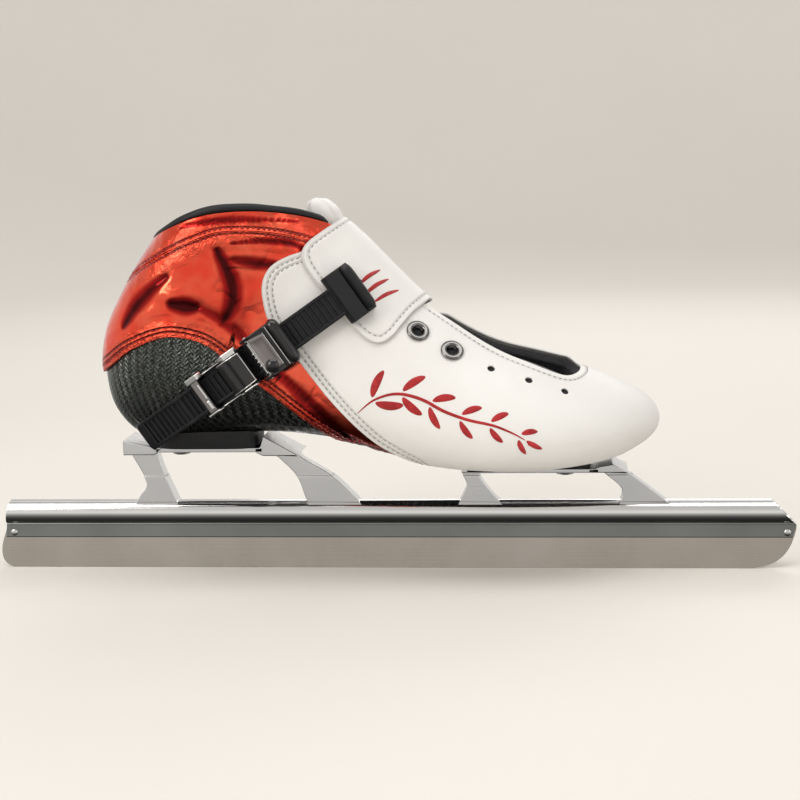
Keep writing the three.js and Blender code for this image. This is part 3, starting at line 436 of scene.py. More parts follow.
def thicken(sheet, outer, inner, rim=0.4):
    """A closed shell between two depths with a rounded rim: its points, faces and each point's source."""
    top, low = sheet.at(outer), sheet.at(inner)
    count = len(top)
    faces = [list(face) for face in sheet.faces]
    faces += [[i + count for i in reversed(face)] for face in sheet.faces]
    edges = {(a, b) for face in sheet.faces for a, b in zip(face, face[1:] + face[:1])}
    border = [(a, b) for a, b in edges if (b, a) not in edges]
    border.sort()
    ahead = {a: b for a, b in border}
    behind = {b: a for a, b in border}
    loop = sorted(set(ahead) & set(behind))
    order = {v: i for i, v in enumerate(loop)}
    loop_index = np.array(loop)
    tangent = top[[ahead[v] for v in loop]] - top[[behind[v] for v in loop]]
    tangent = unit(tangent, TINY)
    outward = unit(np.cross(tangent, skin_normal(sheet.s[loop_index], sheet.angle[loop_index])), TINY)
    rings = [top[loop_index] * (1 - t) + low[loop_index] * t + outward * rim * out for t, out in RIM]
    starts = [2 * count + k * len(loop) for k in range(len(RIM))]
    places = [lambda v: v, *[lambda v, k=k: starts[k] + order[v] for k in range(len(RIM))],
              lambda v: v + count]
    for a, b in border:
        if a in order and b in order:
            for near, far in zip(places[:-1], places[1:]):
                faces.append([near(b), near(a), far(a), far(b)])
    source = np.concatenate([np.arange(count)] * 2 + [loop_index] * len(RIM))
    return np.vstack([top, low, *rings]), faces, source


# ---------------------------------------------------------------- meshes


class Solid:
    """Points and faces gathered from several forms before they become one piece."""

    def __init__(self):
        self.points = np.zeros((0, 3))
        self.faces = []

    def add(self, form):
        points, faces = form
        start = len(self.points)
        self.points = np.vstack([self.points, points])
        self.faces += [[i + start for i in face] for face in faces]
        return self


def piece(name, form, material, body, nodes=(), angle=None, values=None, uv=None):
    """Makes a Blender object of a form, in its place on a body."""
    points, faces = (form.points, form.faces) if isinstance(form, Solid) else form
    mesh = bpy.data.meshes.new(name)
    mesh.from_pydata((np.asarray(points) * MM).tolist(), [], faces)
    for key, value in (values or {}).items():
        mesh.attributes.new(key, "FLOAT", "POINT").data.foreach_set("value", np.asarray(value, np.float32))
    if uv is not None:
        corner = np.zeros(len(mesh.loops), int)
        mesh.loops.foreach_get("vertex_index", corner)
        layer = mesh.uv_layers.new(name="Weave")
        layer.data.foreach_set("uv", np.asarray(uv(corner, mesh), np.float32).ravel())
    cleaned = bmesh.new()
    cleaned.from_mesh(mesh)
    bmesh.ops.remove_doubles(cleaned, verts=cleaned.verts, dist=2e-6)
    bmesh.ops.recalc_face_normals(cleaned, faces=cleaned.faces)
    cleaned.to_mesh(mesh)
    cleaned.free()
    mesh.shade_smooth()
    if angle is not None:
        mesh.set_sharp_from_angle(angle=math.radians(angle))
    mesh.materials.append(material)
    obj = bpy.data.objects.new(name, mesh)
    bpy.context.scene.collection.objects.link(obj)
    if angle is not None:
        flat = obj.modifiers.new("Face weighted normals", "WEIGHTED_NORMAL")
        flat.keep_sharp = True
        flat.weight = 80
    if body:
        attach(obj, body)
    if nodes:
        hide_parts(*nodes)
    return obj


def moved(form, matrix):
    points, faces = form
    homogeneous = np.hstack([points, np.ones((len(points), 1))])
    return (homogeneous @ np.asarray(matrix, float).T)[:, :3], faces


def plate(outline, low, high, bevel=0.3, holes=(), steps=2):
    """A plate with rounded edges; its outline lies in x and y, and it runs in z from low to high."""
    curve = bpy.data.curves.new("plate", "CURVE")
    curve.dimensions = "2D"
    curve.fill_mode = "BOTH"
    curve.extrude = (high - low) / 2 - bevel
    curve.bevel_depth = bevel
    curve.bevel_resolution = steps
    curve.offset = -bevel
    for number, loop in enumerate([outline, *holes]):
        loop = np.asarray(loop, float)
        x, y = loop.T
        area = (x * np.roll(y, -1) - np.roll(x, -1) * y).sum()
        if (area > 0) == (number > 0):
            loop = loop[::-1]
        spline = curve.splines.new("POLY")
        spline.points.add(len(loop) - 1)
        spline.points.foreach_set("co",
                                  np.hstack([loop, np.zeros((len(loop), 1)),
                                             np.ones((len(loop), 1))]).ravel())
        spline.use_cyclic_u = True
    holder = bpy.data.objects.new("plate", curve)
    mesh = bpy.data.meshes.new_from_object(holder)
    points = np.zeros(len(mesh.vertices) * 3)
    mesh.vertices.foreach_get("co", points)
    faces = [list(polygon.vertices) for polygon in mesh.polygons]
    bpy.data.objects.remove(holder)
    bpy.data.curves.remove(curve)
    bpy.data.meshes.remove(mesh)
    points = points.reshape(-1, 3)
    points[:, 2] += (low + high) / 2
    return points, faces


def side_plate(outline, y_low, y_high, bevel=0.3, holes=(), steps=2):
    """A plate whose outline lies in x and z, from y_low to y_high."""
    points, faces = plate(outline, y_low, y_high, bevel, holes, steps)
    return points[:, [0, 2, 1]], faces


def lathe(profile, sides=48, closed=False):
    """A form turned round z from a profile of radius and height."""
    profile = np.asarray(profile, float)
    turn = np.arange(sides) / sides * 2 * PI
    points = np.stack([
        profile[:, :1] * np.cos(turn), profile[:, :1] * np.sin(turn),
        np.repeat(profile[:, 1:], sides, axis=1),
    ], axis=-1).reshape(-1, 3)
    return points, grid_faces(len(profile), sides, round_rows=closed)


def tube_along(path, radius, sides=10):
    """A round tube along a path; the radius may vary."""
    path = np.asarray(path, float)
    radius = np.broadcast_to(radius, len(path))
    tangent = unit(np.gradient(path, axis=0))
    side = np.cross(tangent[0], [0.31, 0.27, 0.91])
    frames = []
    for t in tangent:
        side = side - t * (side @ t)
        side /= np.linalg.norm(side)
        frames.append((side, np.cross(t, side)))
    turn = np.arange(sides) / sides * 2 * PI
    points = np.vstack([
        centre + r * (np.cos(turn)[:, None] * u + np.sin(turn)[:, None] * v)
        for centre, r, (u, v) in zip(path, radius, frames)
    ])
    return points, grid_faces(len(path), sides) + end_faces(len(path), sides)


TO_Y = [[1, 0, 0, 0], [0, 0, 1, 0], [0, -1, 0, 0], [0, 0, 0, 1]]


def shifted(x, y, z):
    return [[1, 0, 0, x], [0, 1, 0, y], [0, 0, 1, z], [0, 0, 0, 1]]


def upright_to(direction, place):
    """The matrix that turns z to a direction and moves the origin to a place."""
    turn = Vector((0, 0, 1)).rotation_difference(Vector(direction)).to_matrix().to_4x4()
    turn.translation = Vector(place)
    return np.array(turn)


# ---------------------------------------------------------------- materials


TOW_WIDTH = 1.6
SATIN_PITCH = 0.42


class Paint:
    """A procedural material, built from a few kinds of node."""

    def __init__(self, name, **shader):
        self.material = bpy.data.materials.new(name)
        self.material.use_nodes = True
        self.tree = self.material.node_tree
        self.shader = self.tree.nodes["Principled BSDF"]
        self.set(**shader)
        self.place = self.add("ShaderNodeTexCoord").outputs["Object"]

    def set(self, **shader):
        for key, value in shader.items():
            socket = self.shader.inputs[key.replace("_", " ").title().replace("Ior", "IOR")]
            if isinstance(value, bpy.types.NodeSocket):
                self.tree.links.new(value, socket)
            else:
                socket.default_value = (*value, 1.0) if isinstance(value, tuple) else value
        return self

    def add(self, kind, inputs=None, **settings):
        node = self.tree.nodes.new(kind)
        for key, value in settings.items():
            setattr(node, key, value)
        for key, value in (inputs or {}).items():
            if isinstance(value, bpy.types.NodeSocket):
                self.tree.links.new(value, node.inputs[key])
            else:
                node.inputs[key].default_value = value
        return node

    def math(self, operation, *values):
        return self.add("ShaderNodeMath", dict(enumerate(values)), operation=operation).outputs[0]

    def noise(self, scale, detail=3.0, roughness=0.5, vector=None, distortion=0.0):
        inputs = {"Vector": vector or self.place, "Scale": scale, "Detail": detail, "Roughness": roughness}
        inputs["Distortion"] = distortion
        return self.add("ShaderNodeTexNoise", inputs).outputs[0]

    def cells(self, scale):
        return self.add("ShaderNodeTexVoronoi", {"Vector": self.place, "Scale": scale}).outputs["Distance"]

    def stretched(self, x, y, z, of=None):
        inputs = {0: of or self.place, 1: (x, y, z)}
        return self.add("ShaderNodeVectorMath", inputs, operation="MULTIPLY").outputs[0]

    def fit(self, value, low, high, to_low=0.0, to_high=1.0):
        inputs = {"Value": value, "From Min": low, "From Max": high, "To Min": to_low, "To Max": to_high}
        return self.add("ShaderNodeMapRange", inputs).outputs[0]

    def mix(self, share, first, second):
        node = self.add("ShaderNodeMix", {0: share}, data_type="RGBA")
        for socket, value in ((node.inputs[6], first), (node.inputs[7], second)):
            if isinstance(value, bpy.types.NodeSocket):
                self.tree.links.new(value, socket)
            else:
                socket.default_value = (*value, 1.0)
        return node.outputs[2]

    def value(self, name):
        return self.add("ShaderNodeAttribute", attribute_name=name, attribute_type="GEOMETRY").outputs["Fac"]

    def bump(self, height, distance, strength=1.0, normal=None):
        inputs = {"Height": height, "Distance": distance * MM, "Strength": strength}
        if normal:
            inputs["Normal"] = normal
        return self.add("ShaderNodeBump", inputs).outputs["Normal"]

    def grooves(self, rows, width):
        """Height of pressed lines: a row is the name of a distance value and the level it is pressed at."""
        total = None
        for name, level in rows:
            off = self.math("ABSOLUTE", self.math("SUBTRACT", self.value(name), level))
            groove = self.fit(off, 0.0, width, 0.0, 1.0)
            total = groove if total is None else self.math("MINIMUM", total, groove)
        return total


def leather(name, colour, shade, rows, **shader):
    """Smooth leather with a fine pore grain, pressed stitch lines darkened with painted shade, and a darker,
    worn cut edge.
    """
    paint = Paint(name, **shader)
    tone = paint.noise(28, 4)
    blotch = paint.noise(9, 2)
    base = paint.mix(paint.fit(tone, 0.35, 0.7), colour, shade)
    groove = paint.grooves(rows, 1.1)
    # Painted shade: the colour darkens in the pressed stitch grooves.
    base = paint.mix(paint.fit(groove, 0.0, 1.0, 0.28, 0.0), base, tuple(0.62 * c for c in colour))
    rim = paint.fit(paint.math("ABSOLUTE", paint.value("edge")), 0.0, 0.35, 0.4, 0.0)
    base = paint.mix(rim, base, tuple(0.45 * c for c in colour))
    pores = paint.cells(1500)
    fine = paint.noise(2400, 2)
    normal = paint.bump(groove, 0.45, 0.9)
    normal = paint.bump(paint.noise(140, 3), 0.25, 0.35, normal)
    normal = paint.bump(pores, 0.12, 0.45, normal)
    normal = paint.bump(fine, 0.05, 0.4, normal)
    rough = paint.fit(paint.math("ADD", blotch, paint.math("MULTIPLY", fine, 0.5)), 0.4, 1.1, 0.38, 0.52)
    return paint.set(base_color=base, roughness=rough, normal=normal)


def foil_leather():
    """Metallic red foil on leather: mirror gloss, dents, painted dark reflections and shade in its creases,
    wrinkles, and pressed stitch lines darkened with painted shade.
    """
    paint = Paint("red_foil_leather", metallic=1.0, coat_weight=0.18, coat_roughness=0.05, coat_ior=1.45)
    tone = paint.noise(34, 4, 0.55, distortion=0.9)
    bright = paint.mix(paint.fit(paint.noise(95, 3), 0.35, 0.7), (0.96, 0.075, 0.038), (1.0, 0.15, 0.075))
    # Painted reflection and shade: the foil turns deep red, then near black, where dark reflections fall in
    # its creases.
    painted_dark_reflection = paint.math("ADD", paint.value("painted_dark_reflection"), paint.math("MULTIPLY", tone, 0.55))
    base = paint.mix(paint.fit(painted_dark_reflection, 0.5, 0.8), bright, (0.42, 0.012, 0.010))
    base = paint.mix(paint.fit(painted_dark_reflection, 0.86, 1.12), base, (0.07, 0.002, 0.003))
    groove = paint.grooves((("cup", 2.2), ("cup", 4.4), ("band", 1.6), ("band", -1.4)), 0.9)
    # Painted shade: the colour darkens in the pressed stitch grooves.
    base = paint.mix(paint.fit(groove, 0.0, 1.0, 0.7, 0.0), base, (0.13, 0.003, 0.003))
    near_seam = paint.math("MINIMUM", paint.math("ABSOLUTE", paint.value("cup")),
                           paint.math("ABSOLUTE", paint.value("band")))
    pucker = paint.fit(near_seam, 0.0, 10.0, 1.0, 0.0)
    wrinkles = paint.noise(150, 5, 0.6, distortion=1.6)
    waves = paint.noise(44, 2, 0.4, distortion=0.4)
    swell = paint.noise(19, 1, 0.3, distortion=0.5)
    fold = paint.math("SUBTRACT", paint.noise(26, 2, 0.4, distortion=0.8), 0.5)
    folds = paint.fit(paint.math("ABSOLUTE", fold), 0.0, 0.05)
    normal = paint.bump(swell, 7.0, 0.6)
    normal = paint.bump(waves, 1.9, 0.55, normal)
    normal = paint.bump(folds, 0.35, 0.6, normal)
    normal = paint.bump(paint.math("MULTIPLY", wrinkles, pucker), 1.6, 0.9, normal)
    normal = paint.bump(groove, 0.5, 0.9, normal)
    normal = paint.bump(paint.noise(620, 3), 0.05, 0.5, normal)
    rough = paint.fit(paint.noise(60, 4), 0.3, 0.8, 0.07, 0.17)
    return paint.set(base_color=base, roughness=rough, normal=normal).material


def carbon_fibre():
    """Twill weave of carbon tows under clear resin, laid out in the piece's Weave coordinates, with painted
    sheen, glints and shade.
    """
    paint = Paint("carbon_fibre", metallic=0.8, coat_weight=0.55, coat_roughness=0.05, coat_ior=1.5)
    weave = paint.add("ShaderNodeUVMap", uv_map="Weave").outputs[0]
    split = paint.add("ShaderNodeSeparateXYZ", {0: weave})
    across = paint.math("DIVIDE", split.outputs[0], TOW_WIDTH)
    up = paint.math("DIVIDE", split.outputs[1], TOW_WIDTH)
    cell = paint.math("ADD", paint.math("FLOOR", across), paint.math("FLOOR", up))
    over = paint.math("LESS_THAN", paint.math("FLOORED_MODULO", cell, 4.0), 1.9)
    frac_u = paint.math("FRACT", across)
    frac_v = paint.math("FRACT", up)

    def crown(value):
        return paint.math("SINE", paint.math("MULTIPLY", value, PI))

    warp, weft = crown(frac_u), crown(frac_v)
    height = paint.math("ADD", paint.math("MULTIPLY", over, warp),
                        paint.math("MULTIPLY", paint.math("SUBTRACT", 1.0, over), weft))
    fibre_u, fibre_v = (
        paint.noise(1.0, 2, vector=paint.stretched(*stretch, of=weave))
        for stretch in ((9, 0.5, 1), (0.5, 9, 1))
    )
    fibre = paint.add("ShaderNodeMix", {0: over, 2: fibre_v, 3: fibre_u}).outputs[0]
    # Painted sheen: the tows of one direction are coloured lighter than those of the other, though both are
    # the same fibre.
    dark = paint.mix(over, (0.003, 0.004, 0.0035), (0.026, 0.031, 0.028))
    # Painted glints: bright fibre streaks, which grow stronger higher up the cup.
    rise = paint.add("ShaderNodeSeparateXYZ", {0: paint.place}).outputs[2]
    painted_glint = paint.math("MULTIPLY", paint.fit(fibre, 0.53, 0.64), paint.fit(rise, 0.078, 0.112, 0.1, 1.0))
    painted_glint_colour = paint.mix(painted_glint, dark, (0.50, 0.55, 0.49))
    # Near black at the tows' low edges: partly the dark resin between the tows, partly painted shade.
    base = paint.mix(paint.fit(height, 0.0, 0.6, 0.9, 0.0), painted_glint_colour, (0.002, 0.002, 0.002))
    normal = paint.bump(height, 0.34, 0.95)
    normal = paint.bump(fibre, 0.06, 0.6, normal)
    rough = paint.mix(over, (0.3, 0.3, 0.3), (0.16, 0.16, 0.16))
    clear = paint.bump(paint.noise(40, 3), 0.35, 0.4)
    paint.tree.links.new(clear, paint.shader.inputs["Coat Normal"])
    return paint.set(base_color=base, roughness=rough, normal=normal).material


def knit(name, colour, pitch=0.85):
    """Black knit lining over foam."""
    paint = Paint(name, sheen_weight=0.35, sheen_roughness=0.4)
    scaled = paint.add("ShaderNodeVectorMath", {0: paint.place, 3: 2 * PI / (pitch * MM)}, operation="SCALE")
    axes = paint.add("ShaderNodeSeparateXYZ", {0: scaled.outputs[0]})
    x, y, z = (paint.math("SINE", axes.outputs[i]) for i in range(3))
    loops = paint.math("ADD", paint.math("MULTIPLY", x, z),
                       paint.math("MULTIPLY", y, paint.math("ADD", x, z)))
    base = paint.mix(paint.fit(loops, -0.8, 0.9), tuple(0.35 * c for c in colour), colour)
    base = paint.mix(paint.fit(paint.noise(60, 4), 0.35, 0.75, 0.0, 0.5), base,
                     tuple(1.9 * c for c in colour))
    normal = paint.bump(loops, 0.16, 0.7)
    normal = paint.bump(paint.noise(90, 3), 0.5, 0.4, normal)
    rough = paint.fit(paint.noise(300, 2), 0.3, 0.7, 0.72, 0.92)
    return paint.set(base_color=base, roughness=rough, normal=normal).material


def moulded(name, colour, roughness, texture=1.0, **shader):
    """Moulded plastic with a fine spark-eroded grain and a painted highlight along its sharp edges."""
    paint = Paint(name, **shader)
    base = paint.mix(paint.fit(paint.noise(90, 4), 0.35, 0.75), colour, tuple(1.7 * c for c in colour))
    edge = paint.add("ShaderNodeNewGeometry").outputs["Pointiness"]
    # Painted highlight: sharp convex edges are coloured lighter.
    base = paint.mix(paint.fit(edge, 0.52, 0.62, 0.0, 0.5), base, tuple(4 * c + 0.01 for c in colour))
    normal = paint.bump(paint.noise(2600, 2), 0.05, 0.7 * texture)
    normal = paint.bump(paint.noise(220, 2), 0.12, 0.25 * texture, normal)
    low, high = roughness
    rough = paint.fit(paint.noise(140, 5), 0.3, 0.75, low, high)
    return paint.set(base_color=base, roughness=rough, normal=normal).material


def metal(name, colour, shade, roughness, streak=(6, 900, 900), depth=0.02, scratches=0.3, **shader):
    """Ground or polished metal: fine streaks along the grain, faint scratches and uneven gloss."""
    paint = Paint(name, metallic=1.0, **shader)
    grain = paint.noise(1.0, 4, 0.6, vector=paint.stretched(*streak))
    cloud = paint.noise(22, 4)
    base = paint.mix(paint.fit(cloud, 0.3, 0.7), colour, shade)
    scuff = paint.noise(1.0, 2, 0.7, vector=paint.stretched(60, 1400, 1400), distortion=0.3)
    low, high = roughness
    rough = paint.fit(paint.math("ADD", grain, paint.math("MULTIPLY", cloud, 0.6)), 0.5, 1.1, low, high)
    marks = paint.fit(scuff, 0.68, 0.74, 0.0, scratches)
    base = paint.mix(marks, base, tuple(0.7 * c for c in shade))
    normal = paint.bump(grain, depth, 0.6)
    normal = paint.bump(marks, 0.01, 0.5, normal)
    return paint.set(base_color=base, roughness=rough, normal=normal).material


def thread(name, colour, along=None):
    """Twisted sewing thread, or satin stitches laid side by side where along names a distance in mm."""
    paint = Paint(name, sheen_weight=0.25, sheen_roughness=0.3)
    if along:
        strands = paint.math("SINE", paint.math("MULTIPLY", paint.value(along), 2 * PI / SATIN_PITCH))
        drift = paint.noise(260, 3)
        base = paint.mix(paint.fit(strands, -0.9, 0.6), tuple(0.4 * c for c in colour), colour)
        base = paint.mix(paint.fit(drift, 0.35, 0.75, 0.0, 0.6), base,
                         tuple(min(1.0, 1.5 * c + 0.02) for c in colour))
        normal = paint.bump(strands, 0.14, 0.9)
        normal = paint.bump(drift, 0.2, 0.4, normal)
    else:
        strands = paint.noise(1700, 2)
        base = paint.mix(paint.fit(strands, 0.3, 0.7), tuple(0.6 * c for c in colour), colour)
        normal = paint.bump(strands, 0.08, 0.8)
    rough = paint.fit(paint.noise(500, 2), 0.3, 0.7, 0.42, 0.62)
    return paint.set(base_color=base, roughness=rough, normal=normal).material


WHITE = (0.82, 0.81, 0.79)
RED_FOIL = foil_leather()
CARBON = carbon_fibre()
VAMP_LEATHER = leather(
    "white_vamp_leather", WHITE, (0.78, 0.765, 0.74), (("edge", 2.2), ("edge", 4.6), ("throat", 3.0)),
    sheen_weight=0.05,
).material
STRAP_LEATHER = leather(
    "white_strap_leather", WHITE, (0.79, 0.775, 0.75), (("edge", 2.5),), sheen_weight=0.05,
).material
PAD_LEATHER = leather("white_pad_leather", WHITE, (0.79, 0.775, 0.75), (("edge", 3.0),)).material
LINING = knit("black_lining_knit", (0.02, 0.02, 0.023))
BINDING = leather("black_binding", (0.009, 0.009, 0.011), (0.014, 0.014, 0.017), (("edge", 2.0),),
                  specular_ior_level=0.35).material
FOOTBED = knit("footbed_fabric", (0.035, 0.035, 0.04), 1.3)
PLASTIC = moulded("black_moulded_plastic", (0.009, 0.009, 0.01), (0.34, 0.5), specular_ior_level=0.38)
LADDER_PLASTIC = moulded("black_ladder_plastic", (0.006, 0.006, 0.007), (0.26, 0.4), 0.6,
                         specular_ior_level=0.35)
GLOSS = moulded("black_gloss_plastic", (0.006, 0.0055, 0.006), (0.12, 0.22), 0.25, specular_ior_level=0.4,
               coat_weight=0.5, coat_roughness=0.05)
BLACK_NICKEL = metal("black_nickel", (0.022, 0.021, 0.023), (0.045, 0.042, 0.046), (0.14, 0.26),
                     (900, 30, 900), 0.01, 0.5)
GUNMETAL = metal("gunmetal_plating", (0.15, 0.147, 0.142), (0.25, 0.243, 0.235), (0.14, 0.24),
                 (700, 700, 700), 0.01, 0.3)
BRIGHT_STEEL = metal("bright_steel", (0.72, 0.71, 0.69), (0.80, 0.79, 0.77), (0.1, 0.2), (700, 700, 700),
                     0.01, 0.3)
ALUMINIUM = metal("polished_aluminium", (0.86, 0.86, 0.86), (0.92, 0.91, 0.90), (0.08, 0.16),
                  (5, 1200, 1200), 0.012, 0.2)
MILLED = metal("milled_aluminium", (0.80, 0.80, 0.80), (0.88, 0.87, 0.86), (0.16, 0.28), (900, 40, 900),
               0.015, 0.25)
RUNNER_STEEL = metal("runner_steel", (0.63, 0.565, 0.49), (0.73, 0.665, 0.59), (0.24, 0.34), (3, 1500, 1500),
                     0.03, 0.25)
SMOKED = metal("smoked_nickel", (0.27, 0.245, 0.235), (0.34, 0.31, 0.295), (0.1, 0.2), (500, 30, 500), 0.01,
               0.3)
# Bright nickel for strips that paint highlights on the buckle's black parts.
HIGHLIGHT_NICKEL = metal("bright_nickel_painted_highlight", (0.78, 0.765, 0.74), (0.86, 0.845, 0.82), (0.08, 0.18),
                      (500, 500, 500), 0.01, 0.3)
# A satin aluminium far darker than the tube's, as painted shade on the jaws.
JAW_ALUMINIUM_PAINTED_SHADE = metal("satin_aluminium_painted_shade", (0.30, 0.315, 0.30), (0.37, 0.38, 0.365), (0.3, 0.42),
                      (4, 1300, 1300), 0.02, 0.2)
# The white thread is coloured mid grey: painted shade on the stitches.
SHADED_WHITE_THREAD = thread("white_thread_painted_shade", (0.42, 0.42, 0.40))
RED_THREAD = thread("red_thread", (0.42, 0.02, 0.02))
RED_SATIN = thread("red_satin_stitch", (0.62, 0.018, 0.022), "along")

# ---------------------------------------------------------------- the boot's regions

# The flap on the throat's inner side: how far it stands open, how far round, and where that fades in x and y.
FLAP = {"lift": 4.6, "reach": 13, "inner": (-4, 8), "rear": (20, 30), "front": (88, 98)}
# The throat is cut above one height and the sole trimmed below another.
THROAT_LOWEST, SOLE_HIGHEST = 90, 74
FAR_VALUE = 1000.0
# The value of a distance in mm where no seam or edge is near.
NO_SEAM = 50.0
cup_line = smooth(CUP_EDGE)
quarter_area = region(np.vstack([cup_line, smooth(QUARTER_FRONT)]), [[20, 230], [-160, 230]])
vamp_area = region(smooth(VAMP_EDGE), [[150, 46], [150, 172.5]])
collar_area = region(smooth(COLLAR_EDGE), [[60, 166], [60, 230], [-150, 230]])
band_area = region(smooth(BAND_SEAM), [[60, 150], [60, 230], [-150, 230]])
shell_rear = [[x, z + 8] for x, z in CUP_EDGE[:10]]
shell_area = region(
    smooth(shell_rear + [[-22, 79], [0, 70], [30, 66], [70, 64], [100, 67], [122, 75], [145, 84]]),
    [[145, 40], [-160, 40]],
)
throat_plan = smooth([[x, y] for x, y, _ in THROAT] + [[x, y] for x, _, y in reversed(THROAT[:-1])])
strap_free = region(smooth(STRAP_FREE_END), [[60, 150], [0, 200]])
strap_sewn = np.array(STRAP_SEWN_END, float)


def above_collar(points, area=None, rise=0.0):
    """How far points stand inside the area above a line that falls towards the inner side."""
    height = points[..., 2] + COLLAR_FALL["per_width"] * (points[..., 1] - COLLAR_FALL["level_y"])
    return inside(collar_area if area is None else area, points[..., 0], height + rise)


def no_seam(points):
    return np.full(len(points), NO_SEAM)


def flap_lift(points, throat_distance):
    """How far the throat's inner flap stands open, above the skin."""
    x, y = points[..., 0], points[..., 1]
    fade = np.exp(-((throat_distance / FLAP["reach"]) ** 2))
    along = step(*FLAP["rear"], x) * (1 - step(*FLAP["front"], x))
    return FLAP["lift"] * step(*FLAP["inner"], y) * fade * along


def throat_value(points, clearance):
    """Distance outside the lace throat's plan, on the upper half of the boot."""
    value = -inside(throat_plan, points[:, 0], points[:, 1]) - clearance
    return np.where(points[:, 2] > THROAT_LOWEST, value, FAR_VALUE)


def sole_value(points, share=0.6):
    """Distance outside the middle of the sole, where the leather is trimmed."""
    stations = sections_at(0.13 + 0.5 * np.arange(11) / 10)
    low = np.stack([stations[:, 2], stations[:, 5] - share * stations[:, 4]], axis=1)
    high = np.stack([stations[:, 2], stations[:, 5] + share * stations[:, 4]], axis=1)
    value = -inside(np.vstack([low, high[::-1]]), points[:, 0], points[:, 1])
    return np.where(points[:, 2] < SOLE_HIGHEST, value, FAR_VALUE)


lace_holes = [
    (row, side, s, PI + side * (LACE_ANGLE_FIRST + row * LACE_ANGLE_STEP))
    for row, s in enumerate(LACE_ROWS) for side in (-1, 1)
]


def lace_value(points, radius_of):
    """Distance outside every lace hole."""
    value = np.full(len(points), FAR_VALUE)
    for row, _, s, angle in lace_holes:
        centre = skin(s, angle, VAMP_OUTER)
        axis = skin_normal(np.array(s), np.array(angle), VAMP_OUTER)
        offset = points - centre
        along = offset @ axis
        across = np.linalg.norm(offset - along[:, None] * axis, axis=1)
        value = np.minimum(value, np.where(np.abs(along) < 12, across - radius_of(row), FAR_VALUE))
    return value


# ---------------------------------------------------------------- stitches and embroidery


def resample(points, pitch):
    """Points at an even pitch along a path, after light smoothing."""
    softened = points.copy()
    for _ in range(3):
        softened[1:-1] = (softened[:-2] + 2 * softened[1:-1] + softened[2:]) / 4
    length = travelled(softened)
    count = max(int(length[-1] / pitch), 2)
    at = (np.arange(count) + 0.5) / count * length[-1]
    return np.stack([np.interp(at, length, softened[:, k]) for k in range(softened.shape[1])], axis=1)


STITCH_RINGS = [
    (-0.5, 0.2, -0.7), (-0.42, 0.7, -0.15), (-0.2, 1, 0.3), (0.2, 1, 0.3), (0.42, 0.7, -0.15),
    (0.5, 0.2, -0.7),
]


def stitch_row(path, depth, pitch, length, radius, sides=6):
    """Thread stitches along a path of s and angle, each arched over the surface and dipping at its ends."""
    if callable(depth):
        depth = depth(skin(path[:, 0], path[:, 1]))
    surface = skin(path[:, 0], path[:, 1], depth)
    normals = skin_normal(path[:, 0], path[:, 1], depth)
    row = resample(np.hstack([surface, normals]), pitch)
    centre, normal = row[:, :3], unit(row[:, 3:])
    tangent = np.gradient(centre, axis=0)
    tangent = unit(tangent - normal * (tangent * normal).sum(axis=1, keepdims=True))
    across = np.cross(normal, tangent)
    turn = np.arange(sides) / sides * 2 * PI
    points = []
    for along, size, lift in STITCH_RINGS:
        middle = centre + tangent * length * along + normal * radius * lift
        for t in turn:
            points.append(middle + radius * size * (np.cos(t) * across + np.sin(t) * normal))
    points = np.stack(points, axis=1)
    rings = len(STITCH_RINGS)
    faces = grid_faces(rings, sides) + end_faces(rings, sides)
    count = rings * sides
    sewn = [[v + k * count for v in face] for k in range(len(centre)) for face in faces]
    return points.reshape(-1, 3), sewn


def stitching(name, sheet, rows, depth, material, body="boot", keep=None, **size):
    """One piece with all the stitch rows of a sheet; rows are pairs of a value and its level."""
    sewn = Solid()
    for value, level in rows:
        for path in sheet.line(value, level):
            if keep is not None:
                path = path[keep(skin(path[:, 0], path[:, 1]))]
            if len(path) > 6:
                sewn.add(stitch_row(path, depth, **size))
    return piece(name, sewn, material, body)


EMBROIDERY_HEIGHT = 0.75


def embroidery(name, strokes, depth, body="boot"):
    """Satin-stitched strokes on the outer side: each is a line in x and z and its greatest width."""
    solid = Solid()
    along = []
    for line, width in strokes:
        middle = resample(smooth(line, 12), 0.8)
        tangent = unit(np.gradient(middle, axis=0))
        share = np.linspace(0, 1, len(middle))
        half = width / 2 * (0.22 + 0.78 * np.sin(PI * share) ** 0.6)
        across = np.linspace(-1, 1, 9)
        x = middle[:, :1] - tangent[:, 1:] * half[:, None] * across
        z = middle[:, 1:] + tangent[:, :1] * half[:, None] * across
        s, angle = on_side(x, z, depth)
        swell = np.sin(PI * np.clip(share, 0.04, 0.96))[:, None] ** 0.35
        dome = EMBROIDERY_HEIGHT * np.sqrt(np.clip(1 - across**2, 0, 1)) * swell
        points = skin(s, angle, depth) + skin_normal(s, angle, depth) * (dome - 0.2)[..., None]
        solid.add((points.reshape(-1, 3), grid_faces(*x.shape, round_columns=False)))
        along.append((travelled(middle)[:, None] + 0.25 * half[:, None] * across).ravel())
    return piece(name, solid, RED_SATIN, body, values={"along": np.concatenate(along)})


# ---------------------------------------------------------------- heel cup


def cup_values(points, s):
    return [inside(shell_area, points[:, 0], points[:, 2])]


